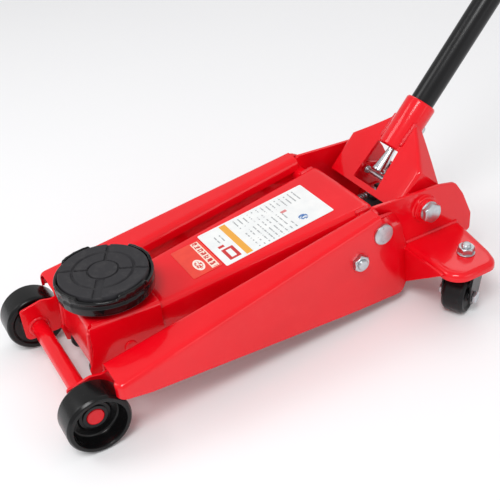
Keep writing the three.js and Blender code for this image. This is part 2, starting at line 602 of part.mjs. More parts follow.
function casterWheel() {
  const { wheelRadius: r, wheelWidth: w } = CASTER;
  return lathe([
    [4 + GAP, -w / 2], [9, -w / 2], [10, -w / 2 + 2], [r - 7, -w / 2 + 2], [r - 5, -w / 2],
    [r - 2.5, -w / 2], [r, -w / 2 + 3.5], [r, w / 2 - 3.5], [r - 2.5, w / 2], [r - 5, w / 2],
    [r - 7, w / 2 - 2], [10, w / 2 - 2], [9, w / 2], [4 + GAP, w / 2], [4 + GAP, -w / 2],
  ], 24);
}

for (const [name, side] of SIDES) {
  const nutTop = SHELF.topZ + GAP + 10;
  const stud = join(
    barZ(6, 60, nutTop + 4, 0, 0),
    hexPrism(19, SHELF.topZ + GAP, nutTop),
  );
  const studMesh = add(`caster_stud_${name}`, stud, zinc);
  studMesh.position.set(CASTER.x, side * CASTER.y, 0);

  const caster = new THREE.Group();
  caster.position.set(CASTER.x, side * CASTER.y, 0);
  caster.rotation.z = side < 0 ? rad(90 - CASTER.turn) : -rad(90 - CASTER.turn);
  jack.add(caster);
  add(`caster_fork_${name}`, casterFork(), blackGloss, caster);
  const wheel = add(`caster_wheel_${name}`, casterWheel(), blackGloss, caster);
  wheel.position.set(-CASTER.trail, 0, CASTER.wheelRadius);
  wheel.rotation.x = Math.PI / 2;
  const axle = join(
    barY(4, -24, 24, 0, 0), barY(7.5, -CASTER.half - 5, -CASTER.half - GAP, 0, 0, 6),
    barY(7.5, CASTER.half + GAP, CASTER.half + 5, 0, 0, 6),
  );
  const axleMesh = add(`caster_axle_${name}`, axle, zinc, caster);
  axleMesh.position.set(-CASTER.trail, 0, CASTER.wheelRadius);
}

export default jack;
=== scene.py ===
"""A three tonne hydraulic floor jack: pressed red chassis, lift arm and saddle, yoke and handle.

Shapes are worked out in millimetres from the front axle, x towards the handle, y towards the
jack's right side and z up, and are moved into the row frame, in metres, as each piece is made.
"""
import math

import bmesh
import bpy
import numpy as np
from mathutils import Matrix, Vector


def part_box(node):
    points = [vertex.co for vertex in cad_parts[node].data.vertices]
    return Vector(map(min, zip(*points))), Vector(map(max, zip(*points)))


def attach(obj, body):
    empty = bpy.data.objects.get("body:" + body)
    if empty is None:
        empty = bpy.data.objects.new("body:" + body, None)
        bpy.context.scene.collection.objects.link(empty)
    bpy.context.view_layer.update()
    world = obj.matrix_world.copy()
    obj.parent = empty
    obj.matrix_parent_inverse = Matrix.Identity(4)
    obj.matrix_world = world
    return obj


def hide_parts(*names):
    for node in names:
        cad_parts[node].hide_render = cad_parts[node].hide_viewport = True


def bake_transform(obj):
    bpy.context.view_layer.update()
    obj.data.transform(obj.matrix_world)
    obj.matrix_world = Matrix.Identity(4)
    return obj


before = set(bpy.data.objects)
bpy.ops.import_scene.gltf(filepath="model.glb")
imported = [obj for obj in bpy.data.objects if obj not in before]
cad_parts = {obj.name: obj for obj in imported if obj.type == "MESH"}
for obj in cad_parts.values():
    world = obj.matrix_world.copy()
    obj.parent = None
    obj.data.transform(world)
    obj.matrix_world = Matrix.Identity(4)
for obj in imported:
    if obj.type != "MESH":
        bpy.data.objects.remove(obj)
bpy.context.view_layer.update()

AXLE_X = float(np.mean([corner[0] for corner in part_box("front_axle")])) * 1000.0
UP = np.array([0.0, 0.0, 1.0])
LEFT, RIGHT = -1, 1

# ---------------------------------------------------------------- camera, floor and lights


def camera(position, azimuth, elevation, roll, lens, shift):
    """A camera whose back vector points away from the jack at these angles, in degrees."""
    a, e, r = (math.radians(angle) for angle in (azimuth, elevation, roll))
    back = np.array([math.sin(a) * math.cos(e), -math.cos(a) * math.cos(e), math.sin(e)])
    level = np.array([math.cos(a), math.sin(a), 0.0])
    above = np.cross(back, level)
    right = math.cos(r) * level + math.sin(r) * above
    up = math.cos(r) * above - math.sin(r) * level
    lens_data = bpy.data.cameras.new("camera")
    lens_data.lens, lens_data.sensor_width = lens, 36.0
    lens_data.shift_x, lens_data.shift_y = shift
    lens_data.clip_end = 50.0
    obj = bpy.data.objects.new("camera", lens_data)
    bpy.context.scene.collection.objects.link(obj)
    turn = np.eye(4)
    turn[:3, 0], turn[:3, 1], turn[:3, 2], turn[:3, 3] = right, up, back, position
    obj.matrix_world = Matrix(turn.tolist())
    bpy.context.scene.camera = obj


def softbox(name, position, target, size, power):
    """A square area light at position, facing target, size metres across."""
    light = bpy.data.lights.new(name, "AREA")
    light.size, light.energy = size, power
    obj = bpy.data.objects.new(name, light)
    bpy.context.scene.collection.objects.link(obj)
    z = np.array(position, float) - np.array(target, float)
    z /= np.linalg.norm(z)
    x = np.cross(UP, z)
    x /= np.linalg.norm(x)
    turn = np.eye(4)
    turn[:3, 0], turn[:3, 1], turn[:3, 2], turn[:3, 3] = x, np.cross(z, x), z, position
    obj.matrix_world = Matrix(turn.tolist())


# ---------------------------------------------------------------- shader expressions


class Value:
    """A number that varies over a surface: arithmetic on it adds the Math nodes it needs."""

    def __init__(self, finish, socket):
        self.finish, self.socket = finish, socket

    def math(self, operation, first, second=0.0):
        node = self.finish.node("ShaderNodeMath", {"operation": operation}, {0: first, 1: second})
        return Value(self.finish, node.outputs[0])

    def __add__(self, other):
        return self.math("ADD", self, other)

    __radd__ = __add__

    def __sub__(self, other):
        return self.math("SUBTRACT", self, other)

    def __rsub__(self, other):
        return self.math("SUBTRACT", other, self)

    def __mul__(self, other):
        return self.math("MULTIPLY", self, other)

    __rmul__ = __mul__

    def __truediv__(self, other):
        return self.math("DIVIDE", self, other)

    def __lt__(self, other):
        return self.math("LESS_THAN", self, other)

    def __gt__(self, other):
        return self.math("GREATER_THAN", self, other)

    def fraction(self):
        return self.math("FRACT", self)

    def size(self):
        return self.math("ABSOLUTE", self)

    def power(self, exponent):
        return self.math("POWER", self, exponent)


class Finish:
    """A material with one Principled shader, built through the single node method below."""

    def __init__(self, name, **constants):
        self.material = bpy.data.materials.new(name)
        self.material.use_nodes = True
        self.tree = self.material.node_tree
        self.tree.nodes.clear()
        self.shader = self.node("ShaderNodeBsdfPrincipled")
        output = self.node("ShaderNodeOutputMaterial")
        self.tree.links.new(self.shader.outputs[0], output.inputs["Surface"])
        for socket, value in constants.items():
            self.shader.inputs[socket.replace("_", " ")].default_value = value
        self.place = self.node("ShaderNodeTexCoord").outputs["Object"]

    def node(self, kind, settings=None, inputs=None):
        """Adds a node: settings first, then a value or a link for each named input."""
        made = self.tree.nodes.new(kind)
        for key, value in (settings or {}).items():
            if key == "stops":
                ramp = made.color_ramp.elements
                while len(ramp) < len(value):
                    ramp.new(1.0)
                for element, (position, level) in zip(ramp, value):
                    element.position, element.color = position, (level, level, level, 1.0)
            else:
                setattr(made, key, value)
        for key, value in (inputs or {}).items():
            socket = made.inputs[key]
            source = value.socket if isinstance(value, Value) else value
            if isinstance(source, bpy.types.NodeSocket):
                self.tree.links.new(source, socket)
            else:
                socket.default_value = source
        return made

    def number(self, socket):
        return Value(self, socket)

    def axes(self):
        """The x, y and z of the surface point, in metres."""
        split = self.node("ShaderNodeSeparateXYZ", inputs={0: self.place})
        return [self.number(socket) for socket in split.outputs]

    def noise(self, scale, detail=3.0, roughness=0.55, stretch=(1.0, 1.0, 1.0)):
        """Cloudy noise from 0 to 1, with features about 1/scale metres across."""
        where = self.node("ShaderNodeMapping", inputs={"Vector": self.place, "Scale": stretch})
        made = self.node("ShaderNodeTexNoise", inputs={
            "Vector": where.outputs[0], "Scale": scale, "Detail": detail, "Roughness": roughness})
        return self.number(made.outputs[0])

    def cells(self, scale, feature="DISTANCE_TO_EDGE"):
        """Distance inside Voronoi cells about 1/scale metres across."""
        made = self.node("ShaderNodeTexVoronoi", {"feature": feature},
                         {"Vector": self.place, "Scale": scale})
        return self.number(made.outputs["Distance"])

    def step(self, value, low, high):
        """0 below low, 1 above high, and a straight climb between them."""
        made = self.node("ShaderNodeMapRange", {"clamp": True},
                         {"Value": value, "From Min": low, "From Max": high})
        return self.number(made.outputs[0])

    def mix(self, mask, first, second):
        """first where mask is 0 and second where it is 1, as colours."""
        made = self.node("ShaderNodeMix", {"data_type": "RGBA"}, {0: mask, 6: first, 7: second})
        return made.outputs[2]

    def colour(self, socket):
        self.tree.links.new(socket, self.shader.inputs["Base Color"])

    def feed(self, name, value):
        self.tree.links.new(value.socket, self.shader.inputs[name])

    def bump(self, height, distance, strength=1.0):
        """Turns a height from 0 to 1 into relief of that many metres."""
        made = self.node("ShaderNodeBump", inputs={
            "Height": height, "Distance": distance, "Strength": strength})
        self.tree.links.new(made.outputs[0], self.shader.inputs["Normal"])


def rgb(red, green, blue):
    """An sRGB colour, 0 to 255, as the linear colour that shaders use."""
    levels = np.array([red, green, blue]) / 255.0
    linear = np.where(levels <= 0.04045, levels / 12.92, ((levels + 0.055) / 1.055) ** 2.4)
    return (*linear.tolist(), 1.0)


def paint(name, main, deep, dust_colour, roughness, peel=0.00006, coat=0.50, level=0.22):
    """Stoved gloss paint: soft shade drift, orange peel, thin dust, pin-head chips and rubs."""
    f = Finish(name, Coat_Roughness=0.06, Coat_IOR=1.5, Specular_IOR_Level=level)
    drift = f.noise(9.0, 2.0)
    dust = f.step(f.noise(38.0, 5.0, 0.7), 0.52, 0.95) * 0.10
    chips = f.step(f.noise(420.0, 2.0, 0.5), 0.765, 0.785) * f.step(f.noise(16.0), 0.52, 0.6)
    rubs = f.step(f.noise(60.0, 6.0, 0.75, (0.15, 1.0, 1.0)), 0.62, 0.8)
    base = f.mix(f.step(drift, 0.3, 0.7), deep, main)
    base = f.mix(dust, base, dust_colour)
    f.colour(f.mix(chips * 0.75, base, rgb(96, 30, 30)))
    f.feed("Roughness", roughness + rubs * 0.10 + dust * 1.2 + chips * 0.3)
    f.feed("Coat Weight", coat - chips * 0.3 - dust)
    f.bump(f.noise(330.0, 2.0, 0.4) * 0.5 + f.noise(1300.0, 1.0) * 0.12 - chips * 0.4, peel)
    return f.material


def plated(name, main, shade, roughness, grain=700.0, stretch=(1.0, 1.0, 1.0), spots=0.5):
    """Plated or turned steel: fine tool grain, cloudy passivation and a few dull spots."""
    f = Finish(name, Metallic=1.0)
    cloud = f.noise(85.0, 4.0, 0.6)
    lines = f.noise(grain, 3.0, 0.6, stretch)
    dull = f.step(f.noise(240.0, 3.0), 0.66, 0.74) * spots
    base = f.mix(f.step(cloud, 0.3, 0.75), main, shade)
    f.colour(f.mix(dull, base, rgb(120, 112, 98)))
    f.feed("Roughness", roughness + cloud * 0.12 + lines * 0.10 + dull * 0.3)
    f.bump(lines * 0.6 + cloud * 0.4 - dull * 0.3, 0.00005)
    return f.material


def rubbery(name, main, worn, roughness, relief=0.00012):
    """Moulded rubber or nylon: fine pitted grain, chalky scuffs and a drift of tone."""
    f = Finish(name, Specular_IOR_Level=0.25)
    grain = f.noise(1500.0, 2.0, 0.6)
    scuff = f.step(f.noise(70.0, 6.0, 0.75), 0.5, 0.85)
    f.colour(f.mix(scuff * 0.55, main, worn))
    f.feed("Roughness", roughness + scuff * 0.15 - grain * 0.08)
    f.bump(grain * 0.5 + f.cells(900.0) * 0.5, relief)
    return f.material


red = paint("red_gloss_paint", rgb(240, 4, 26), rgb(228, 2, 20), rgb(255, 90, 84), 0.20)
gloss_black = paint("black_gloss_enamel", rgb(13, 13, 15), rgb(8, 8, 10), rgb(84, 82, 80), 0.16,
                    0.00004, 0.12, 0.3)
tube_black = paint("black_handle_enamel", rgb(20, 20, 22), rgb(12, 12, 13), rgb(70, 68, 66), 0.28,
                   0.00006, 0.05, 0.3)
wheel_black = paint("black_wheel_enamel", rgb(14, 14, 15), rgb(9, 9, 10), rgb(84, 82, 80), 0.24,
                    0.00006, 0.05, 0.3)
iron = paint("dark_iron_paint", rgb(44, 44, 46), rgb(30, 30, 32), rgb(96, 90, 82), 0.46, 0.00014, 0.0, 0.3)
zinc = plated("bright_zinc_plate", rgb(214, 218, 221), rgb(176, 182, 188), 0.22)
steel = plated("turned_steel", rgb(178, 180, 184), rgb(140, 142, 146), 0.26, 1600.0, (1.0, 8.0, 1.0))
chrome = plated("coupler_chrome", rgb(228, 230, 232), rgb(196, 200, 206), 0.10, spots=0.2)
pad_rubber = rubbery("saddle_rubber", rgb(46, 45, 48), rgb(84, 82, 82), 0.62)
grip_rubber = rubbery("grip_rubber", rgb(24, 24, 25), rgb(70, 68, 66), 0.66)
tyre_nylon = rubbery("caster_nylon", rgb(22, 22, 24), rgb(66, 64, 62), 0.42, 0.00006)


def weld_metal():
    """Painted weld: the same red over close, half-round ripples and spatter."""
    f = Finish("red_painted_weld", Coat_Weight=0.3, Coat_Roughness=0.08)
    ripple = f.noise(900.0, 3.0, 0.6)
    f.colour(f.mix(f.step(ripple, 0.3, 0.7), rgb(214, 4, 24), rgb(240, 20, 38)))
    f.feed("Roughness", 0.22 + ripple * 0.15)
    f.bump(ripple, 0.0004)
    return f.material


weld_red = weld_metal()


def boxed(x, y, x0, x1, y0, y1):
    """1 inside a rectangle laid out in millimetres from the front axle, with crisp edges."""
    centre_x, half_x = ((x0 + x1) / 2 + AXLE_X) / 1000, (x1 - x0) / 2000
    centre_y, half_y = (y0 + y1) / 2000, (y1 - y0) / 2000
    return ((x - centre_x).size() < half_x) * ((y - centre_y).size() < half_y)


def data_label():
    """White film with rows of dash marks, an amber band, a hollow red block and a blue round mark."""
    f = Finish("data_label_film", Coat_Weight=0.4, Coat_Roughness=0.12)
    x, y, _ = f.axes()
    cloud = f.noise(60.0, 3.0)
    base = f.mix(f.step(cloud, 0.3, 0.8), rgb(246, 247, 246), rgb(232, 235, 236))
    rows = ((x - AXLE_X / 1000) * 145.0).fraction() < 0.26
    words = f.noise(1.0, 2.0, 0.5, (40.0, 330.0, 1.0)) > 0.47
    grey = rows * words * (boxed(x, y, 257, 322, -36, 6) + boxed(x, y, 262, 356, 12, 34)
                           + boxed(x, y, 226, 240, 6, 22))
    base = f.mix(grey * 0.62, base, rgb(92, 98, 104))
    base = f.mix(boxed(x, y, 243, 252, -37, 37), base, rgb(238, 168, 52))
    block = boxed(x, y, 222, 238, -33, -8) - boxed(x, y, 226.5, 233.5, -29, -12)
    block = block + boxed(x, y, 222, 230, -4, 1)
    base = f.mix(block, base, rgb(206, 32, 34))
    mark_x, mark_y = x - (334 + AXLE_X) / 1000, y + 0.0235
    spread = (mark_x * mark_x + mark_y * mark_y).power(0.5)
    ring = (spread < 0.0062) * (f.noise(320.0, 1.0) > 0.47)
    base = f.mix(ring, base, rgb(60, 116, 182))
    base = f.mix(boxed(x, y, 318, 326, 2, 7) * 0.8, base, rgb(214, 70, 74))
    f.colour(base)
    f.feed("Roughness", 0.34 + cloud * 0.12)
    f.bump(cloud, 0.00008)
    return f.material


def front_sticker():
    """Small red film: a pale oval with a mottled middle, and a pale band of broken bars beside it."""
    f = Finish("front_sticker_film", Coat_Weight=0.4, Coat_Roughness=0.12)
    x, y, _ = f.axes()
    cloud = f.noise(90.0, 3.0)
    base = f.mix(f.step(cloud, 0.3, 0.8), rgb(240, 62, 40), rgb(230, 48, 34))
    band = boxed(x, y, 198, 208, -30, 31)
    base = f.mix(band, base, rgb(250, 226, 210))
    bars = boxed(x, y, 199.5, 206.5, -29, 30) * ((y * 118.0).fraction() < 0.7)
    bars = bars * (f.noise(300.0, 1.0) > 0.42)
    base = f.mix(bars, base, rgb(206, 34, 30))
    dx, dy = (x - (188 + AXLE_X) / 1000) / 0.0065, (y + 0.013) / 0.012
    oval = (dx * dx + dy * dy) < 1.0
    base = f.mix(oval, base, rgb(248, 236, 226))
    inner = (dx * dx + dy * dy) < 0.5
    base = f.mix(inner * (f.noise(420.0, 1.0) > 0.5), base, rgb(214, 60, 40))
    f.colour(base)
    f.feed("Roughness", 0.32 + cloud * 0.12)
    f.bump(cloud, 0.00006)
    return f.material


label_film, sticker_film = data_label(), front_sticker()

# ---------------------------------------------------------------- turning shapes into pieces

EDGE = 0.7  # rounding of sheared sheet edges, mm


def shift_to_row(points):
    """Millimetres from the front axle to metres in the row frame."""
    return (np.asarray(points, float) + [AXLE_X, 0.0, 0.0]) / 1000.0


def merged(parts):
    """Several (points, faces) shapes as one, with the later faces renumbered."""
    points, faces, start = [], [], 0
    for some_points, some_faces in parts:
        some_points = np.asarray(some_points, float).reshape(-1, 3)
        points.append(some_points)
        faces += [[index + start for index in face] for face in some_faces]
        start += len(some_points)
    return np.concatenate(points), faces


def mirrored(part):
    """The same shape on the jack's other side, with its faces turned to point out again."""
    points, faces = part
    points = np.asarray(points, float).reshape(-1, 3) * [1.0, -1.0, 1.0]
    return points, [list(reversed(face)) for face in faces]


def on_side(side, part):
    """A left-hand shape for either side."""
    return part if side == LEFT else mirrored(part)


def place(part, matrix):
    """A shape moved by a 4 by 4 matrix."""
    points, faces = part
    points = np.asarray(points, float).reshape(-1, 3)
    return points @ matrix[:3, :3].T + matrix[:3, 3], faces


def piece(name, part, material, body, replaces=(), sheet=0.0, bevel=0.0, smooth=38.0,
          segments=2):
    """Makes the Blender object: doubles merged, closed shapes faced out, then sheet and bevel."""
    points, faces = part
    mesh = bpy.data.meshes.new(name)
    mesh.from_pydata(shift_to_row(points).tolist(), [], [list(map(int, face)) for face in faces])
    work = bmesh.new()
    work.from_mesh(mesh)
    bmesh.ops.remove_doubles(work, verts=work.verts, dist=2e-6)
    bmesh.ops.dissolve_degenerate(work, edges=work.edges, dist=1e-6)
    if not sheet:
        bmesh.ops.recalc_face_normals(work, faces=work.faces)
    work.to_mesh(mesh)
    work.free()
    mesh.materials.append(material)
    mesh.polygons.foreach_set("use_smooth", np.ones(len(mesh.polygons), bool))
    mesh.set_sharp_from_angle(angle=math.radians(smooth))
    obj = bpy.data.objects.new(name, mesh)
    bpy.context.scene.collection.objects.link(obj)
    if sheet:
        wall = obj.modifiers.new("wall", "SOLIDIFY")
        wall.thickness, wall.offset, wall.use_even_offset = sheet / 1000, -1.0, True
    if bevel:
        edge = obj.modifiers.new("edge", "BEVEL")
        edge.width, edge.segments, edge.limit_method = bevel / 1000, segments, "ANGLE"
        edge.angle_limit, edge.harden_normals = math.radians(38), True
        edge.use_clamp_overlap = True
    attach(obj, body)
    if replaces:
        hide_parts(*replaces)
    return obj


def net(points, close_u=False, close_v=False, keep=None, flip=False):
    """A grid of points, rows by columns, as quads; keep drops the faces where it is False."""
    rows, columns = points.shape[:2]
    u = np.arange(rows if close_u else rows - 1)
    v = np.arange(columns if close_v else columns - 1)
    a, b = np.meshgrid(u, v, indexing="ij")
    if keep is not None:
        a, b = a[keep], b[keep]
    a2, b2 = (a + 1) % rows, (b + 1) % columns
    quads = np.stack([a * columns + b, a2 * columns + b, a2 * columns + b2, a * columns + b2], -1)
    quads = quads.reshape(-1, 4)
    return points.reshape(-1, 3), (quads[:, ::-1] if flip else quads).tolist()


def rounded(corners, closed=False, steps=5):
    """A path through (a, b, radius) corners, each rounded by an arc of that radius."""
    corners = [(*corner, 0.0)[:3] for corner in corners]
    path, count = [], len(corners)
    for i, (a, b, radius) in enumerate(corners):
        here = np.array([a, b], float)
        if radius <= 0 or (not closed and i in (0, count - 1)):
            path.append(here)
            continue
        before = np.array(corners[i - 1][:2], float) - here
        after = np.array(corners[(i + 1) % count][:2], float) - here
        lengths = np.linalg.norm(before), np.linalg.norm(after)
        before, after = before / lengths[0], after / lengths[1]
        half = math.acos(np.clip(before @ after, -1, 1)) / 2
        reach = min(radius / math.tan(half), 0.49 * min(lengths))
        middle = (before + after) / np.linalg.norm(before + after)
        centre = here + middle * reach / math.cos(half)
        first, last = here + before * reach - centre, here + after * reach - centre
        sweep = math.atan2(first[0] * last[1] - first[1] * last[0], first @ last)
        t = np.linspace(0, sweep, steps + 1)
        path += [centre + np.array([first[0] * c - first[1] * s, first[0] * s + first[1] * c])
                 for c, s in zip(np.cos(t), np.sin(t))]
    return np.array(path)


def plate(corners, low, high, axis="y"):
    """A flat plate: a rounded outline, in x and z or in x and y, between two levels of the
    third axis."""
    path = rounded(corners, closed=True)
    levels = np.array([low, high])
    ring = np.zeros((2, len(path), 3))
    across, up = {"y": (1, 2), "z": (2, 1), "x": (0, 2)}[axis]
    ring[:, :, 0 if axis != "x" else 1] = path[:, 0]
    ring[:, :, up] = path[:, 1]
    ring[:, :, across] = levels[:, None]
    points, faces = net(ring, close_v=True)
    count = len(path)
    return points, faces + [list(range(count)), list(range(2 * count - 1, count - 1, -1))]


def turned(profile, segments=64, centre=(0, 0, 0), axis="z", steps=4, closed=False):
    """A lathe shape: a rounded profile of (radius, height) swept round an axis."""
    path = rounded(profile, closed=closed, steps=steps)
    angle = np.linspace(0, 2 * np.pi, segments, endpoint=False)
    radius, height = path[:, 0][:, None], np.broadcast_to(path[:, 1][:, None], (len(path), segments))
    a, b = radius * np.cos(angle), radius * np.sin(angle)
    order = {"z": (a, b, height), "y": (a, height, b), "x": (height, a, b)}[axis]
    return net(np.stack(order, -1) + np.array(centre, float), close_u=closed, close_v=True)


def six_sided(flats, low, high, centre, axis="z", bore=0.0, facing=1):
    """A hexagonal nut or head: the radius follows a hexagon and is cut back by a cone at the
    outer end, which leaves the curved chamfer lines on its flats."""
    angle = np.linspace(0, 2 * np.pi, 96, endpoint=False)
    hexagon = flats / 2 / np.cos((angle + np.pi / 6) % (np.pi / 3) - np.pi / 6)
    depth = np.array([1.0, 0.985, 0.93, 0.86, 0.78, 0.7, 0.1, 0.0])
    cone = flats / 2 * 0.96 + (1 - depth) * flats * 0.42
    rings = [np.minimum(hexagon, limit) for limit in cone]
    rings[-1] = rings[-1] * 0.985
    heights = [low + (high - low) * d for d in depth]
    inner_top, inner_low = (bore, bore) if bore else (0.0, 0.0)
    rings = [np.full(96, inner_top)] + rings + [np.full(96, inner_low)]
    heights = [heights[0]] + heights + [heights[-1]]
    r, h = np.array(rings), np.array(heights)[:, None] * np.ones(96) * facing
    a, b = r * np.cos(angle), r * np.sin(angle)
    order = {"z": (a, b, h), "y": (a, h, b), "x": (h, a, b)}[axis]
    return net(np.stack(order, -1) + np.array(centre, float), close_u=bool(bore), close_v=True)


def threaded(radius, low, high, centre, axis="z", pitch=1.75, facing=1):
    """A stud end: the radius rises and falls once each pitch, and the end is chamfered."""
    height = np.arange(low, high, pitch / 6)
    wave = radius - 0.28 + 0.28 * np.cos(2 * np.pi * height / pitch)
    wave = np.minimum(wave, radius - np.clip(height - (high - 1.4), 0, None) * 0.9)
    angle = np.linspace(0, 2 * np.pi, 40, endpoint=False)
    r = np.concatenate([[0.0], wave, [wave[-1] * 0.8, 0.0]])[:, None]
    h = np.concatenate([[low], height, [high, high]])[:, None] * np.ones(40) * facing
    a, b = r * np.cos(angle), r * np.sin(angle)
    order = {"z": (a, b, h), "y": (a, h, b), "x": (h, a, b)}[axis]
    return net(np.stack(order, -1) + np.array(centre, float), close_v=True)


def tube_along(path, radius, sides=12, closed=False, ripple=None):
    """A round section carried along a path, square to it, with domed ends closed to a point."""
    path = np.asarray(path, float)
    if closed:
        tangent = np.roll(path, -1, 0) - np.roll(path, 1, 0)
    else:
        tangent = np.gradient(path, axis=0)
    tangent /= np.linalg.norm(tangent, axis=1, keepdims=True)
    hint = UP if abs(tangent[:, 2]).max() < 0.9 else np.array([0.3, 1.0, 0.1])
    first = np.cross(tangent, hint)
    first /= np.linalg.norm(first, axis=1, keepdims=True)
    second = np.cross(tangent, first)
    radii = np.full(len(path), radius) if ripple is None else radius * ripple
    angle = np.linspace(0, 2 * np.pi, sides, endpoint=False)
    ring = (path[:, None] + radii[:, None, None] * (
        np.cos(angle)[None, :, None] * first[:, None] + np.sin(angle)[None, :, None] * second[:, None]))
    if not closed:
        ends = np.repeat(path[[0, -1]][:, None], sides, 1)
        ring = np.concatenate([ends[:1], ring, ends[1:]])
    return net(ring, close_u=closed, close_v=True)


def weld_bead(path, radius=2.6, seed=0.0):
    """A weld: a round bead along a path whose radius swells with each overlapping puddle."""
    path = np.asarray(path, float)
    lengths = np.concatenate([[0], np.cumsum(np.linalg.norm(np.diff(path, axis=0), axis=1))])
    s = np.linspace(0, lengths[-1], max(12, int(lengths[-1] / 0.55)))
    dense = np.stack([np.interp(s, lengths, path[:, k]) for k in range(3)], -1)
    swell = 1 + 0.13 * np.abs(np.sin(np.pi * s / 2.4 + seed)) + 0.05 * np.sin(s * 0.9 + seed)
    ends = np.clip(np.minimum(s, s[-1] - s) / 2.0, 0, 1) ** 0.5
    return tube_along(dense, radius, 10, ripple=swell * (0.25 + 0.75 * ends))


def circle_path(radius, centre, axis="y", count=72, start=0.0, sweep=360.0):
    """Points on a circle about a centre, square to an axis."""
    t = np.radians(start + np.linspace(0, sweep, count))
    a, b, zero = radius * np.cos(t), radius * np.sin(t), np.zeros(count)
    order = {"y": (a, zero, b), "z": (a, b, zero), "x": (zero, a, b)}[axis]
    return np.stack(order, -1) + np.array(centre, float)


def smooth_step(t):
    """0 to 1 with level ends."""
    t = np.clip(t, 0, 1)
    return t * t * (3 - 2 * t)

# ---------------------------------------------------------------- side members and shelves

SIDE_TOP_Z, SIDE_RISE, SIDE_START = 80.0, 0.1726, 28.0
SKIRT_Y, SKIRT_TAPER, WEB_Y = 129.3, 0.0713, 82.5
FLANGE_END, SKIRT_END = 393.0, 431.0
REAR_Y = 87.5
NAMES = {LEFT: "left", RIGHT: "right"}


def flange_z(x):
    return SIDE_TOP_Z + SIDE_RISE * (x - 29.0)


def skirt_y(x):
    """The skirt tapers inwards to the rear and turns in round the front corner, radius 6."""
    corner = np.clip(SIDE_START + 6.0 - x, 0, 6.0)
    return SKIRT_Y - SKIRT_TAPER * (x - 29.0) - (6.0 - np.sqrt(36.0 - corner ** 2))


def skirt_bottom(x):
    return np.interp(x, [28, 34, 62, 194, 345, 431], [66, 63.5, 57, 41, 23, 15])


def channel_sheet():
    """The pressed channel: a short web, a bend, the flange, a tight bend and the skirt, with the
    section carried from the front corner to the flange's rear end."""
    x = np.concatenate([SIDE_START + 6 * (1 - np.cos(np.linspace(0, np.pi / 2, 10))),
                        np.linspace(48, FLANGE_END - 14, 44),
                        FLANGE_END - 14 + 14 * np.sin(np.linspace(0.12, np.pi / 2, 9))])
    top, outer, low = flange_z(x), skirt_y(x), skirt_bottom(x)
    bend, crease = 6.5, 3.0
    t = np.linspace(0, np.pi / 2, 7)[:, None]
    t = t * np.ones(len(x))
    y = [np.full((1, len(x)), -WEB_Y), -WEB_Y - bend * (1 - np.cos(t)),
         -WEB_Y - bend - (outer - WEB_Y - bend - crease) * np.linspace(0.1, 0.9, 6)[:, None],
         -outer + crease * (1 - np.sin(t)), -outer * np.ones((9, 1))]
    z = [top[None] - bend - 7.0, top - bend * (1 - np.sin(t)), top * np.ones((6, 1)),
         top - crease * (1 - np.cos(t)),
         top - crease - (top - crease - low) * np.linspace(0.08, 1.0, 9)[:, None]]
    y, z = np.concatenate(y), np.concatenate(z)
    grid = np.stack([np.broadcast_to(x, y.shape), y, z], -1)
    return net(grid, flip=True)


def smooth_corner(t, turn, soft):
    """Shares of two straight runs that meet at turn, blended over a width of soft each way."""
    blend = np.clip((t - turn + soft) / (2 * soft), 0, 1)
    along = blend * blend * soft * 2
    far = np.where(t > turn + soft, t - turn, along - along * 0.5)
    near = t - far
    return near / turn, far / (1 - turn)


def skirt_tail_sheet():
    """The skirt behind the flange: it runs on to a leaning fold line, bends there, and turns
    inwards to meet the rear plate 25 mm further back."""
    rows = np.linspace(0, 1, 16)
    fold_z = 141.0 - rows * (141.0 - 15.0)
    fold_x = np.interp(fold_z, [15, 38, 117, 141], [429, 425, 410, 397])
    start = np.full(16, FLANGE_END - 14.5)
    top, low = flange_z(start) - 3.1, skirt_bottom(start)
    begin = np.stack([start, -skirt_y(start) + 0.25, top + (low - top) * rows], -1)
    fold = np.stack([fold_x, -skirt_y(fold_x) + 0.25, fold_z], -1)
    end_x = fold_x + 25.0
    end_z = np.maximum(fold_z - 9.0 * (1 - rows), 27 + 0.3 * (end_x - 414))
    end = np.stack([end_x, np.full(16, -REAR_Y - 0.5), end_z], -1)
    t = np.linspace(0, 1, 30)[:, None, None]
    near, far = smooth_corner(t, 0.5, 0.09)
    grid = begin + (fold - begin) * near + (end - fold) * far
    return net(grid)


def rear_plate():
    return plate([
        (392, 148.5, 5), (440, 145.8, 20), (500, 143, 6), (526, 137.5, 12), (540, 117, 8), (556, 81.5, 10),
        (556, 55, 6), (500, 51, 6), (414, 24, 6)], -REAR_Y, -REAR_Y + 5.0)


def web_plate():
    top = [(value, flange_z(value) - 8.0) for value in (23.0, 120, 240, FLANGE_END, SKIRT_END)]
    return plate([(-19, 68, 4), (10, 74, 5), *top, (SKIRT_END, 24, 5), (200, 40),
                  (60, 52, 20), (42, 24, 10), (22, 22, 8), (-19, 22, 8)], -86.4, -82.8)


def boss(radius, foot, low, high, x, z):
    """A turned boss with a small foot fillet and a rounded outer edge, facing left."""
    return turned([(0, -low + 4), (radius + foot, -low + 4), (radius + foot, -low),
                   (radius, -low - foot, 1.0), (radius, -high, 1.2), (0, -high)], 56, (x, 0, z), "y")


PIVOT = (395.0, 121.0)
YOKE_BOLT = (475.0, 119.0)
ANCHOR = (358.0, 96.0)
SEAM_Y = -REAR_Y - 1.1  # where the left rear plate's welds run


def across_at(pin):
    """Where the axis of a crosswise pin, given by its x and z, crosses the jack's middle."""
    return pin[0], 0, pin[1]


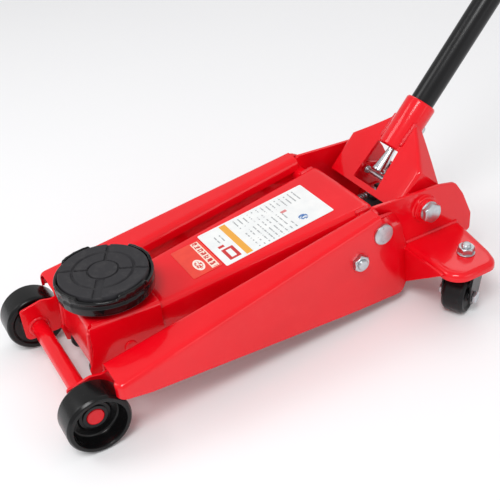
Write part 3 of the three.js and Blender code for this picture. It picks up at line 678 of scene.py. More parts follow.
for side, name in NAMES.items():
    node = f"side_member_{name}"
    piece(f"{node}_channel", on_side(side, channel_sheet()), red, "frame", [node],
          sheet=3.6, bevel=EDGE)
    piece(f"{node}_skirt_tail", on_side(side, skirt_tail_sheet()), red, "frame", (),
          sheet=3.4, bevel=EDGE)
    piece(f"{node}_web", on_side(side, web_plate()), red, "frame", (), bevel=EDGE)
    piece(f"{node}_rear_plate", on_side(side, rear_plate()), red, "frame", (), bevel=1.0)
    tie = plate([(412, 40, 2), (417, 38, 2), (417, 116, 3), (411, 120, 3), (407, 46)], -102.0, -87.0)
    collar = turned([(14.0, -102.0), (17.0, -102.0), (17.0, -104.9, 0.8), (14.0, -104.9, 0.6)], 64,
                    across_at(PIVOT), "y", closed=True)
    bosses = [collar, boss(17.5, 1.5, REAR_Y, 92.5, *YOKE_BOLT), boss(14.0, 1.2, 92, 97.0, *YOKE_BOLT),
              boss(12.0, 1.6, 105.2, 107.0, *ANCHOR)]
    piece(f"{node}_bosses", on_side(side, merged(bosses)), red, "frame", ())
    piece(f"{node}_tie", on_side(side, tie), red, "frame", (), bevel=EDGE)
    seams = merged([
        weld_bead([(422, SEAM_Y, 131), (434, SEAM_Y, 108), (442, SEAM_Y, 82), (450, SEAM_Y, 46)], 2.3, 0.3),
        weld_bead([(386, -102.6, 143.6), (396, -101.0, 142.0), (409, -95.0, 137.0), (421, -89.0, 132)],
                  2.2, 1.1),
        weld_bead([(394, SEAM_Y, 147), (394, -98, 144.5)], 2.0, 2.1),
    ])
    piece(f"{node}_welds", on_side(side, seams), weld_red, "frame", ())


def shelf_sheet():
    """A level plate whose rim rolls down all round: rings of the outline, each set in by less
    and lower than the last, under a flat middle. Its rear edge slants forward outwards."""
    rings = []
    roll = np.linspace(0, np.pi / 2, 7)
    insets = np.concatenate([[13.0], 7.0 * (1 - np.sin(roll)), [0.0, 0.0]])
    levels = np.concatenate([[77.0], 77.0 - 7.0 * (1 - np.cos(roll)), [68.0, 66.2]])
    for inset, level in zip(insets, levels):
        corner = max(30.0 - inset, 4.0)
        inner = -REAR_Y - 0.4 - inset * 0.05
        path = rounded([(443 + inset, inner, 0.5), (535 - inset, inner, 0.5), (521 - inset, -160, 30),
                        (512 - inset, -186.6 + inset, corner), (444 + inset, -186.6 + inset, corner * 0.8)],
                       closed=True, steps=9)
        rings.append(np.column_stack([path, np.full(len(path), level)]))
    points, faces = net(np.array(rings), close_v=True, flip=True)
    return points, faces + [list(range(len(rings[0])))[::-1]]


for side, name in NAMES.items():
    node = f"caster_shelf_{name}"
    sheet = shelf_sheet()
    piece(node + "_top", on_side(side, sheet), red, "frame", [node], sheet=4.0, bevel=0.5)
    gusset = plate([(-88, 74), (-168, 74, 2), (-163, 70, 4), (-94, 21, 4), (-88, 20, 3)], 440, 444, "x")
    piece(node + "_gusset", on_side(side, gusset), red, "frame", (), bevel=EDGE)
    shelf_weld = weld_bead([(446, -88.4, 77.6), (490, -88.4, 77.6), (532, -88.4, 77.6)], 2.2, 0.7)
    piece(node + "_weld", on_side(side, shelf_weld), weld_red, "frame", ())

# ---------------------------------------------------------------- front axle and wheels

AXLE_Z, WHEEL_Y = 38.0, 108.5
bar = [(0, -111.5), (10.5, -111.5, 1.6), (10.5, 111.5, 1.6), (0, 111.5)]
piece("front_axle_bar", turned(bar, 64, (0, 0, AXLE_Z), "y"), red, "frame", ["front_axle"])
axle_welds = merged([weld_bead(circle_path(11.6, (0, y, AXLE_Z)), 2.0, y)
                     for y in (-82.6, 82.6, -86.8, 86.8)])
piece("front_axle_welds", axle_welds, weld_red, "frame", ())


def front_wheel(side):
    """A turned wheel: a broad tread with rounded shoulders, a deep outer cup with a sloping
    wall, a raised hub ring inside it and a shallow recess on the inner face."""
    profile = [(11.0, -18.5), (18.0, -18.5, 1.0), (20.0, -16.5, 1.5), (28.5, -16.5, 1.5), (31.0, -18.5, 1.0),
               (36.0, -18.5, 2.0), (38.0, -15.0, 2.0), (38.0, 14.5, 2.5), (35.5, 18.5, 2.0),
               (31.5, 18.5, 1.2), (30.5, 15.5, 1.5), (29.0, -1.5, 3.0), (20.0, -1.5, 2.0),
               (18.6, 0.0, 1.0), (11.0, 0.0)]
    flipped = [(point[0], point[1] * side, *point[2:]) for point in profile]
    return turned(flipped, 96, (0, side * WHEEL_Y, AXLE_Z), "y", closed=True)


for side, name in NAMES.items():
    node = f"front_wheel_{name}"
    piece(node + "_casting", front_wheel(side), wheel_black, node, [node])
    ring = [(10.9, 0.3), (14.6, 0.3, 0.3), (14.6, 1.9, 0.5), (10.9, 1.9)]
    ring = [(point[0], side * (point[1] + WHEEL_Y), *point[2:]) for point in ring]
    piece(f"wheel_ring_{name}_clip", turned(ring, 48, (0, 0, AXLE_Z), "y", closed=True), iron, "frame",
          [f"wheel_ring_{name}"])

# ---------------------------------------------------------------- cross members and hardware

piece("cross_bar_tube", merged([
    turned([(0, -82.4), (9, -82.4, 0.6), (9, 82.4, 0.6), (0, 82.4)], 40, (230, 0, 50), "y"),
    turned([(0, -89), (6, -89, 1), (6, 89, 1), (0, 89)], 32, (230, 0, 50), "y")]),
    red, "frame", ["cross_bar"])
base = merged([
    plate([(496, -82.3, 3), (536, -82.3, 3), (536, 82.3, 3), (496, 82.3, 3)], 38.0, 43.6, "z"),
    plate([(498, 40), (534, 40), (534, 61, 4), (498, 61, 4)], -82.4, -78.8),
    plate([(498, 40), (534, 40), (534, 61, 4), (498, 61, 4)], 78.8, 82.4)])
piece("rear_cross_plate_pressing", base, red, "frame", ["rear_cross_plate"], bevel=EDGE)

heads = []
for side in (LEFT, RIGHT):
    head = [(0, 104.0), (13.0, 104.0), (13.5, 105.2, 0.4), (13.5, 109.8, 0.6), (12.2, 111.0, 0.6), (0, 111.0)]
    head = [(point[0], side * point[1], *point[2:]) for point in head]
    heads.append(turned(head, 72, across_at(PIVOT), "y"))
piece("arm_shaft_heads", merged(heads), zinc, "frame", ["arm_shaft"])
shaft = [(0, -104.4), (11.0, -104.4), (11.0, 104.4), (0, 104.4)]
piece("arm_shaft_turned", turned(shaft, 72, across_at(PIVOT), "y"), red, "frame", ())
bolt = [(0, -107), (7, -107), (7, 107), (0, 107)]
piece("rod_anchor_bolt_rod", merged([
    turned(bolt, 40, across_at(ANCHOR), "y"),
    threaded(7.0, 106.0, 119.5, across_at(ANCHOR), "y"),
    threaded(7.0, 106.0, 119.5, across_at(ANCHOR), "y", facing=-1)]),
    zinc, "frame", ["rod_anchor_bolt"])
for side, name in NAMES.items():
    nut = six_sided(20.0, 108.6, 116.3, across_at(ANCHOR), "y", 7.1, side)
    washer = turned([(7.3, side * 107.2), (12.4, side * 107.2, 0.3), (12.4, side * 108.6, 0.4),
                     (7.3, side * 108.6)], 48, across_at(ANCHOR), "y", closed=True)
    piece(f"anchor_nut_{name}_faced", merged([nut, washer]), zinc, "frame", [f"anchor_nut_{name}"])
    head = six_sided(24.0, 98.6, 106.2, across_at(YOKE_BOLT), "y", 0.0, side)
    flange = turned([(0, side * 97.2), (13.6, side * 97.2, 0.3), (13.2, side * 98.8, 0.5),
                     (0, side * 98.8)], 48, across_at(YOKE_BOLT), "y")
    shank = turned([(0, side * 66), (8, side * 66, 1), (8, side * 98), (0, side * 98)], 32,
                   across_at(YOKE_BOLT), "y")
    piece(f"yoke_bolt_{name}_faced", merged([head, flange, shank]), zinc, "frame", [f"yoke_bolt_{name}"])

# ---------------------------------------------------------------- lift arm

ARM_FRONT, ARM_REAR = 96.0, 411.0


def arm_top(x):
    return 92.0 + 0.13 * (x - 66.0)


def arm_half(x):
    return 41.4 + 25.6 * (x - 66.0) / 345.0


def arm_low(x):
    return np.interp(x, [92, 352, 374, 388, 404, 411], [50, 108, 104, 101, 101, 116])


def arm_sheet():
    """The arm's channel: left wall, rounded bend, top, rounded bend, right wall, widening to
    the rear, where the top's edge is rolled over a little."""
    x = np.concatenate([np.linspace(ARM_FRONT, 350, 36), np.linspace(356, ARM_REAR, 16)])
    top = arm_top(x) - 2.5 * smooth_step((x - 404) / 7.0) ** 2
    half, low, bend = arm_half(x), arm_low(x), 9.0
    t = np.linspace(0, np.pi / 2, 9)[:, None] * np.ones(len(x))
    wall = np.linspace(1, 0, 7)[:, None] * np.ones(len(x))
    y = [half * np.ones((7, 1)), half - bend * (1 - np.cos(t[1:])),
         (half - bend) * np.linspace(0.86, -0.86, 13)[:, None],
         -half + bend * (1 - np.cos(t[::-1][:-1])), -half * np.ones((7, 1))]
    z = [top - bend - (top - bend - low) * wall, top - bend * (1 - np.sin(t[1:])), top * np.ones((13, 1)),
         top - bend * (1 - np.sin(t[::-1][:-1])), top - bend - (top - bend - low) * wall[::-1]]
    y, z = np.concatenate(y), np.concatenate(z)
    return net(np.stack([np.broadcast_to(x, y.shape), y, z], -1))


def arm_cheek(side):
    """The wall ahead of the top plate that carries the nose pin, tapering with the arm."""
    points, faces = plate([(58, 52, 6), (92, 50, 4), (104, 53), (104, 88), (96, 95.5, 2), (60, 78, 8)],
                          -5.0, 0.0)
    points = np.array(points)
    points[:, 1] -= arm_half(points[:, 0]) - 0.3
    return on_side(side, (points, faces))


piece("lift_arm_channel", arm_sheet(), red, "lift_arm", ["lift_arm"], sheet=4.6, bevel=EDGE)
piece("lift_arm_cheeks", merged([arm_cheek(LEFT), arm_cheek(RIGHT)]), red, "lift_arm", (),
      bevel=EDGE)
arm_seams = []
for side in (LEFT, RIGHT):
    arm_seams.append(weld_bead([(x, side * (arm_half(x) - 2.6), arm_top(x) - 2.6) for x in (386, 396, 407)],
                               3.4, 0.4 * side))
    arm_seams.append(weld_bead(circle_path(16.0, (PIVOT[0], side * (arm_half(395.0) - 5.6), PIVOT[1]),
                                           start=190, sweep=160), 2.2, side))
piece("lift_arm_welds", merged(arm_seams), weld_red, "lift_arm", ())

CRANK_REACH, CRANK_TILT = 38.0, math.radians(-54)
along = np.array([math.cos(CRANK_TILT), math.sin(CRANK_TILT)])
CRANK_PIN = (PIVOT[0] + CRANK_REACH * along[0], PIVOT[1] + CRANK_REACH * along[1])
half_ring = [(PIVOT[0] + r * math.cos(t), PIVOT[1] + r * math.sin(t))
             for r, turns in ((15.0, np.linspace(math.pi * 0.86, math.pi * 2.14, 30)),
                              (11.4, np.linspace(math.pi * 2.14, math.pi * 0.86, 30))) for t in turns]
crank_parts = [plate(half_ring, -56.0, 56.0)]
across = np.array([-along[1], along[0]])
centre, far = np.array(PIVOT), np.array(CRANK_PIN)
cheek = [(*(centre + across * 10.5 + along * 2), 3), (*(centre - along * 8), 8),
         (*(centre - across * 10.5), 3), (*(far - across * 8.6), 6), (*(far + along * 10.5), 7),
         (*(far + across * 8.6), 6)]
crank_parts += [plate(cheek, low, low + 7.0) for low in (13.0, -20.0)]
piece("arm_crank_forging", merged(crank_parts), iron, "lift_arm", ["arm_crank"], bevel=0.8)
for name, pin, radius, half, finish, slot in (("crank_pin", CRANK_PIN, 6.5, 24, steel, "steel"),
                                              ("nose_pin", (73.0, 62.0), 8.0, 53, red, "red_paint")):
    ends = [(0, -half), (radius, -half, 0.8), (radius, half, 0.8), (0, half)]
    piece(name + "_turned", turned(ends, 40, across_at(pin), "y"), finish, "lift_arm", [name])


def film(x0, x1, half, lift, corner):
    """A thin film on the arm's top, with rounded corners, lying at the arm's own slope."""
    points, faces = plate([(x0, -half, corner), (x1, -half, corner), (x1, half, corner), (x0, half, corner)],
                          0.0, 0.25, "z")
    points = np.array(points)
    points[:, 2] += arm_top(points[:, 0]) + lift
    return points, faces


piece("label_plate_film", film(213, 370, 39.8, 0.25, 2.0), label_film, "lift_arm", ["label_plate"])
piece("front_sticker", film(171, 211, 33, 0.2, 2.0), sticker_film, "lift_arm", ())

# ---------------------------------------------------------------- saddle bracket and saddle


def nose_top(x):
    return 112.0 - 5.0 * (x - 29.0) / 89.0


def nose_low(x):
    return np.interp(x, [20, 24, 50, 88, 116, 118], [36, 27.5, 28, 47, 62, 66])


def nose_sheet():
    """The bracket's channel: walls and top as one bent sheet, whose front edge leans forward
    down the walls and whose walls are cut up to the rear."""
    s = np.linspace(0, 1, 30)[None, :]
    bend, half = 6.0, 51.0
    t = np.linspace(0, np.pi / 2, 7)[:, None]
    wall = np.linspace(1, 0, 12)[:, None]
    drop = np.concatenate([wall, np.zeros((6 + 11 + 6, 1)), wall[::-1]])
    sign = np.repeat([1.0, 0.0, -1.0], [12 + 6, 11, 6 + 12])[:, None]
    level = np.concatenate([np.zeros((12, 1)), np.sin(t[1:]), np.ones((11, 1)), np.sin(t[::-1][:-1]),
                            np.zeros((12, 1))])
    in_bend = np.concatenate([np.zeros((12, 1)), 1 - np.cos(t[1:]), np.zeros((11, 1)),
                              1 - np.cos(t[::-1][:-1]), np.zeros((12, 1))])
    front_edge = np.where(drop > 0, np.interp(108 - drop * 80, [27, 42, 78, 106], [23.5, 20, 28, 28.6]),
                          28.6 + 6.4 * level)
    x = front_edge + (118.0 - front_edge) * s
    top = nose_top(x)
    z_wall = top - bend - drop * (top - bend - nose_low(x))
    z = np.where(drop > 0, z_wall, top - bend * (1 - level))
    middle = np.concatenate([np.zeros((18, 1)), np.linspace(0.84, -0.84, 11)[:, None], np.zeros((18, 1))])
    y = sign * (half - bend * in_bend) + middle * (half - bend)
    return net(np.stack([x, y + 0 * x, z], -1))


def apron_sheet():
    """The front apron: the top's front edge carried down through a rounded bend and folded back
    a little, straight across from side to side."""
    profile = rounded([(46, 111.2), (28.6, 112.0, 6.0), (24.5, 52.0, 2.0), (26.5, 46.5)], steps=7)
    y = np.linspace(-46.6, 46.6, 20)
    grid = np.zeros((len(profile), len(y), 3))
    grid[:, :, 0], grid[:, :, 2], grid[:, :, 1] = profile[:, 0][:, None], profile[:, 1][:, None], y
    return net(grid, flip=True)


piece("saddle_bracket_channel", nose_sheet(), red, "saddle_bracket", ["saddle_bracket"],
      sheet=4.0, bevel=EDGE)
piece("saddle_bracket_apron", apron_sheet(), red, "saddle_bracket", (), sheet=4.0, bevel=EDGE)
piece("saddle_bracket_welds", merged([
    weld_bead([(27.8, side * 48.4, 103), (26.2, side * 48.4, 78), (24.2, side * 48.4, 52)], 2.2, side)
    for side in (LEFT, RIGHT)]), weld_red, "saddle_bracket", ())
ends = [(0, -53), (7, -53, 0.8), (7, 53, 0.8), (0, 53)]
piece("rod_front_pin_turned", turned(ends, 40, (36, 0, 37), "y"), steel, "saddle_bracket",
      ["rod_front_pin"])

SADDLE_X, SADDLE_TURN = 73.0, -30.0


def saddle_cup():
    """The saddle ring: a turned cup whose upper rim rises into four lugs, and whose wall bulges
    into a ribbed grip behind each lug."""
    angle = np.linspace(0, 2 * np.pi, 288, endpoint=False)
    toward = np.abs((np.degrees(angle) - SADDLE_TURN) % 90.0 - 45.0)
    lug = 1 - smooth_step((toward - 19.0) / 3.5)
    ribs = lug * np.clip(np.cos(np.radians(toward * 30.0)), 0, 1)
    path = rounded([(0, 114.0), (48, 114.0, 2), (53, 114.8, 2), (58.2, 119.5, 3), (59.0, 129, 3),
                    (57.4, 133.2, 2), (59.0, 135.0, 1.5), (59.0, 138.4, 1.6), (55.4, 138.6, 1.2),
                    (54.6, 136.0, 1), (54.4, 126.6, 1), (0, 126.6)], steps=5)
    r, z = path[:, 0][:, None], path[:, 1][:, None]
    upper = smooth_step((z - 134.0) / 3.0) * smooth_step((r - 53.0) / 1.5)
    z = z + upper * lug * 4.2
    r = r + 0.5 * ribs * smooth_step((z - 120.0) / 4.0) * smooth_step((r - 57.0) / 1.0)
    grid = np.stack([SADDLE_X + r * np.cos(angle), r * np.sin(angle), z + 0 * angle], -1)
    return net(grid, close_v=True)


def saddle_pad():
    """The rubber pad: a disc whose height falls by a smooth groove wherever a circle or one of
    four radial slots crosses it, with a level middle."""
    r = np.concatenate([np.linspace(0, 16, 8), np.linspace(16.4, 19.8, 8), np.linspace(20.4, 33.6, 12),
                        np.linspace(34, 38.6, 9), np.linspace(39.2, 51.6, 12), 52.0 + 1.4 * np.sin(
                            np.linspace(0, np.pi / 2, 6))])
    angle = np.linspace(0, 2 * np.pi, 480, endpoint=False)
    radius, a = np.meshgrid(r, angle, indexing="ij")

    def groove(distance, half, soft):
        return 1 - smooth_step((np.abs(distance) - half) / soft)

    depth = np.maximum(groove(radius - 18.2, 0.5, 0.9), groove(radius - 36.3, 0.9, 1.1))
    turn = a - math.radians(SADDLE_TURN)
    across = np.minimum(np.abs(radius * np.sin(turn)), np.abs(radius * np.cos(turn))) + 99.0 * (radius < 1)
    broad = 3.4 * (np.cos(turn + math.pi / 2) > 0.75)
    slot = groove(across, 1.3 + broad, 0.9) * smooth_step((radius - 18.0) / 1.2)
    depth = np.maximum(depth, slot)
    edge = np.clip(radius - 52.0, 0, None)
    z = 143.5 - 2.4 * depth - 0.25 * smooth_step((17.0 - radius) / 3.0) - edge ** 2 * 0.7
    top = np.stack([SADDLE_X + radius * np.cos(a), radius * np.sin(a), z], -1)
    lower = top[-1:].copy()
    lower[..., 2] = 127.0
    under = lower.copy()
    under[..., 0], under[..., 1] = SADDLE_X, 0.0
    return net(np.concatenate([top, lower, under]), close_v=True)


piece("saddle_cup_casting", saddle_cup(), gloss_black, "saddle", ["saddle_cup"], smooth=50)
piece("saddle_pad_moulding", saddle_pad(), pad_rubber, "saddle", ["saddle_pad"], smooth=50)
piece("saddle_stud_turned", merged([
    turned([(0, 93), (9, 93, 0.5), (9, 113.6, 0.5), (0, 113.6)], 40, (SADDLE_X, 0, 0)),
    six_sided(24.0, -99.0, -92.2, (SADDLE_X, 0, 0), "z", 0.0, -1)]),
    steel, "saddle", ["saddle_stud"])

# ---------------------------------------------------------------- rods and hydraulic unit


def rod(y):
    """A forged radius rod: a flat bar that swells into a round eye at each end."""
    start, end = np.array([36.0, 37.0]), np.array(ANCHOR)
    length = np.linalg.norm(end - start)
    way = (end - start) / length
    side = np.array([-way[1], way[0]])
    s = np.linspace(-12, length + 12, 220)
    swell = np.maximum(12.0 ** 2 - s ** 2, 0) ** 0.5, np.maximum(12.0 ** 2 - (s - length) ** 2, 0) ** 0.5
    neck = 7.0 * ((s > 0) & (s < length))
    half = np.maximum(np.maximum(swell[0], swell[1]), neck)
    upper = start + way * s[:, None] + side * half[:, None]
    lower = start + way * s[:, None] - side * half[:, None]
    outline = np.concatenate([upper, lower[::-1]])
    return plate([tuple(point) for point in outline], y - 3.0, y + 3.0)


for side, name in NAMES.items():
    piece(f"radius_rod_{name}_forging", rod(31.0 * side), iron, "radius_rods", [f"radius_rod_{name}"],
          bevel=0.9)

RAM_Z, PUMP_X, ROLLER_Z = 83.0, 507.0, 121.0
block = merged([
    plate([(484, 44.3, 4), (546, 44.3, 4), (546, 78, 5), (484, 78, 2)], -42, 42),
    plate([(484, 60, 1), (495, 60, 1), (495, 97, 6), (484, 97, 2)], -30, 30)])
piece("hydraulic_block_casting", block, iron, "frame", ["hydraulic_block"], bevel=1.4)
barrel = [(8.9, 438.0), (15.6, 438.0, 0.6), (17.0, 440.0, 1.0), (17.0, 447.0, 0.6), (16.2, 448.0, 0.4),
          (16.2, 476, 0.4), (17.0, 477.0, 0.4), (17.0, 483.6), (8.9, 483.6)]
piece("cylinder_barrel_turned", merged([
    turned(barrel, 64, (0, 0, RAM_Z), "x", closed=True),
    turned([(4.9, 94), (7, 94), (7, 103, 0.8), (4.9, 103)], 32, (460, 0, 0), closed=True)]),
    iron, "frame", ["cylinder_barrel"])
ram = [(0, CRANK_PIN[0] + 16.2), (7.8, CRANK_PIN[0] + 16.2, 0.5), (8.5, CRANK_PIN[0] + 17.5, 0.4),
       (8.5, 490.0), (0, 490.0)]
piece("ram_rod_ground", turned(ram, 48, (0, 0, RAM_Z), "x"), chrome, "ram", ["ram_rod"])
head_x = CRANK_PIN[0]
cheeks = merged([
    plate([(head_x - 12, 66, 3), (head_x - 8, 66), (head_x - 8, 102), (head_x - 12, 102, 3)], -10, 10),
    plate([(head_x + 8, 66), (head_x + 16, 66, 3), (head_x + 16, 102, 3), (head_x + 8, 102)], -10, 10),
    plate([(head_x - 11, 66.2), (head_x + 11, 66.2), (head_x + 11, 71), (head_x - 11, 71)], -9.8, 9.8),
    plate([(head_x - 11, 97), (head_x + 11, 97), (head_x + 11, 101.8), (head_x - 11, 101.8)], -9.8, 9.8),
    plate([(head_x + 12, 77, 2), (head_x + 15.9, 77, 1), (head_x + 15.9, 89, 1), (head_x + 12, 89, 2)],
          -34, 34)])
piece("crosshead_forging", cheeks, iron, "ram", ["crosshead"], bevel=0.8)


def spring(x0, x1, y, z, radius, wire, turns, upright=False):
    """A wound spring: a helix about a straight axis, its turns set a little wider apart at the ends than in
    the middle.
    """
    t = np.linspace(0, 1, turns * 26)
    squeeze = t + 0.045 * np.sin(2 * np.pi * t)
    angle = 2 * np.pi * turns * t
    along, round_a, round_b = (x1 - x0) * squeeze, radius * np.cos(angle), radius * np.sin(angle)
    if upright:
        path = np.stack([x0 + round_a, y + round_b, z + along], -1)
    else:
        path = np.stack([x0 + along, y + round_a, z + round_b], -1)
    return tube_along(path, wire, 8)


def stretching(obj):
    """Takes a spring off its body, keeping where it is, and bakes that placement into its points."""
    world = obj.matrix_world.copy()
    obj.parent = None
    obj.matrix_world = world
    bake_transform(obj)


for side, name in NAMES.items():
    x0, x1 = CRANK_PIN[0] + 17.4, 483.0
    part = spring(x0, x1, side * 27.0, RAM_Z, 6.0, 1.2, 9)
    obj = piece(f"return_spring_{name}_coil", part, steel, "frame", [f"return_spring_{name}"])
    stretching(obj)

piece("pump_barrel_nut", six_sided(21.0, 78.4, 82.0, (PUMP_X, 0, 0), "z", 7.4), zinc, "frame",
      ["pump_barrel"])
plunger = [(0, 63), (6.4, 63, 0.6), (7, 64.5, 0.4), (7, 107.0, 0.3), (11, 107.6, 0.6), (11, 110.8, 0.9),
           (0, 111.5)]
piece("pump_plunger_ground", turned(plunger, 48, (PUMP_X, 0, 0)), chrome, "pump_plunger", ["pump_plunger"])
part = spring(PUMP_X, PUMP_X + 23.0, 0, 83.3, 9.4, 1.0, 6, upright=True)
obj = piece("pump_spring_coil", part, steel, "frame", ["pump_spring"])
stretching(obj)
piece("filler_plug_faced", merged([
    six_sided(14.0, 79.4, 84.0, (532, 24, 0)),
    turned([(0, 78.3), (8.6, 78.3, 0.3), (8.6, 79.5, 0.3), (0, 79.5)], 36, (532, 24, 0))]),
    zinc, "frame", ["filler_plug"])
piece("valve_spindle_turned", merged([
    turned([(0, 94.2), (4.5, 94.2, 0.5), (4.5, 113, 0.8), (0, 113)], 32, (460, 0, 0)),
    plate([(457.5, -9, 1.2), (462.5, -9, 1.2), (462.5, 9, 1.2), (457.5, 9, 1.2)], 106.2, 110.8, "z")]),
    zinc, "valve_spindle", ["valve_spindle"])

# ---------------------------------------------------------------- handle yoke

SLOPE = math.radians(48.0)
YOKE_MATRIX = np.eye(4)
YOKE_MATRIX[:3, :3] = np.array([[math.sin(SLOPE), 0, math.cos(SLOPE)], [0, 1, 0],
                                [-math.cos(SLOPE), 0, math.sin(SLOPE)]])
YOKE_MATRIX[:3, 3] = [475.0, 0.0, 119.0]
TUBE_X = -16.0


def in_yoke(part):
    """A shape laid out about the yoke's pivot, x rearwards and z along the handle, set in place."""
    return place(part, YOKE_MATRIX)


def yoke_half(u):
    return np.interp(u, [-22, 35, 84, 92], [73.0, 73.0, 20.5, 17.0])


def yoke_sheet():
    """The yoke's pressing: a front plate with a window, folded at each side into a wing that runs
    rearwards and narrows to the socket tube; the upper facets lean back from the window."""
    u = np.array([-22, -18, -14, -6, 4, 14, 24, 31, 35, 39, 43, 50, 57, 64, 71, 78, 84, 88], float)
    half = yoke_half(u)
    window = np.interp(u, [-14, 43], [25.0, 21.0])
    depth = np.interp(u, [-22, -10, 10, 35, 84, 92], [30.0, 42.0, 47.0, 41.0, 13.0, 9.0])
    bend = np.interp(u, [-22, 35, 88], [5.0, 5.0, 3.6])
    t = np.linspace(0, np.pi / 2, 7)
    columns_y, columns_x = [], []
    for share in np.linspace(1, 0.16, 6):
        columns_y.append(half)
        columns_x.append(bend + (depth - bend) * share)
    for angle in t[::-1]:
        columns_y.append(half - bend * (1 - np.sin(angle)))
        columns_x.append(bend * (1 - np.cos(angle)))
    inner = np.minimum(window, (half - bend) * 0.8)
    for share in (0.25, 0.5, 0.75, 1.0):
        columns_y.append((half - bend) + (inner - half + bend) * share)
        columns_x.append(0 * u)
    columns_y.append(inner * 0.33)
    columns_x.append(0 * u)
    y, x = np.array(columns_y), np.array(columns_x)
    y, x = np.concatenate([y, -y[::-1]]), np.concatenate([x, x[::-1]])
    side = np.abs(y)
    back = np.clip((u - 38.0) / 46.0, 0, 1) * np.clip(side - 15.0, 0, None) * 0.10
    x = -26.0 + x + back
    grid = np.stack([x, y, np.broadcast_to(u, y.shape)], -1)
    rows = grid.shape[0]
    keep = np.ones((rows - 1, len(u) - 1), bool)
    keep[rows // 2 - 2:rows // 2 + 1, 2:10] = False  # the window
    return net(grid, keep=keep)


piece("handle_yoke_pressing", in_yoke(yoke_sheet()), red, "handle_yoke", ["handle_yoke"],
      sheet=4.6, bevel=EDGE)
socket = [(16.4, 44.0), (19.6, 44.0, 0.8), (21.0, 45.5, 0.8), (21.0, 111.6, 1.2), (19.4, 114.0, 1.2),
          (16.6, 114.0, 0.6)]
piece("handle_socket", in_yoke(turned(socket, 72, (TUBE_X, 0, 0), closed=True)), red, "handle_yoke", ())
ears = []
for side in (LEFT, RIGHT):
    ring = [(8.4, side * 67.8), (16.0, side * 67.8, 0.6), (16.0, side * 73.6, 1.2), (8.4, side * 73.6, 0.6)]
    ears.append(turned(ring, 56, (0, 0, 0), "y", closed=True))
piece("yoke_pivot_bosses", in_yoke(merged(ears)), red, "handle_yoke", ())
behind, over = PUMP_X - YOKE_BOLT[0], ROLLER_Z - YOKE_BOLT[1]
roller_x = behind * math.sin(SLOPE) - over * math.cos(SLOPE)
roller_z = behind * math.cos(SLOPE) + over * math.sin(SLOPE)
lugs = []
for y in (-30.0, 26.0):
    angle = math.atan2(roller_z, roller_x + 24.0)
    nx, nz = -math.sin(angle) * 6.0, math.cos(angle) * 6.0
    outline = [(-24.0 + nx, nz), (-24.0 - nx, -nz), (roller_x - nx, roller_z - nz, 5),
               (roller_x + 7 * math.cos(angle) - nx, roller_z + 7 * math.sin(angle) - nz, 6),
               (roller_x + 7 * math.cos(angle) + nx, roller_z + 7 * math.sin(angle) + nz, 6)]
    lugs.append(plate(outline, y, y + 4.0))
piece("yoke_roller_lugs", in_yoke(merged(lugs)), red, "handle_yoke", (), bevel=EDGE)
tube_weld = [weld_bead([(TUBE_X - 10.5, side * 19.4, 50), (TUBE_X - 9.5, side * 19.6, 66),
                        (TUBE_X - 8.5, side * 19.8, 86)], 2.6, side) for side in (LEFT, RIGHT)]
piece("yoke_welds", in_yoke(merged(tube_weld)), weld_red, "handle_yoke", ())


def bar_y(radius, half, x, z, soft=0.6):
    return turned([(0, -half), (radius, -half, soft), (radius, half, soft), (0, half)], 36, (x, 0, z), "y")


piece("roller_pin_turned", in_yoke(bar_y(4.0, 32, roller_x, roller_z)), steel, "handle_yoke",
      ["roller_pin"])
piece("window_bar_turned", in_yoke(merged([
    bar_y(3.2, 32, -12, 3), turned([(0, -24.5), (5.2, -24.5, 0.8), (5.2, -20.5, 0.8), (0, -20.5)], 28,
                                  (-12, 0, 3), "y"),
    turned([(0, 20.5), (5.2, 20.5, 0.8), (5.2, 24.5, 0.8), (0, 24.5)], 28, (-12, 0, 3), "y")])),
    zinc, "handle_yoke", ["window_bar"])
piece("clamp_screw_faced", in_yoke(merged([
    six_sided(13.0, 7.0, 12.0, (0, 0, 84), "x"), threaded(4.0, 5.0, 14.0, (0, 0, 84), "x")])),
    zinc, "handle_yoke", ["clamp_screw"])
piece("pump_roller_ground", in_yoke(turned(
    [(4.4, -8), (8, -8, 0.8), (8, 8, 0.8), (4.4, 8)], 40, (roller_x, 0, roller_z), "y", closed=True)),
    steel, "pump_roller", ["pump_roller"])

# ---------------------------------------------------------------- handle

lower = [(13.6, 52), (16, 52, 0.6), (16, 556.5, 0.4), (15.6, 559.8, 0.4), (13.6, 559.8)]
piece("handle_lower_tube", in_yoke(turned(lower, 64, (TUBE_X, 0, 0), closed=True)), tube_black, "handle",
      ["handle_lower"])
upper = [(11.0, 510), (13.1, 510, 0.4), (13.1, 560.3), (15.6, 560.3, 0.4), (16, 563.5, 0.4), (16, 1006.5),
         (11.0, 1006.5)]
piece("handle_upper_tube", in_yoke(turned(upper, 64, (TUBE_X, 0, 0), closed=True)), tube_black, "handle",
      ["handle_upper"])


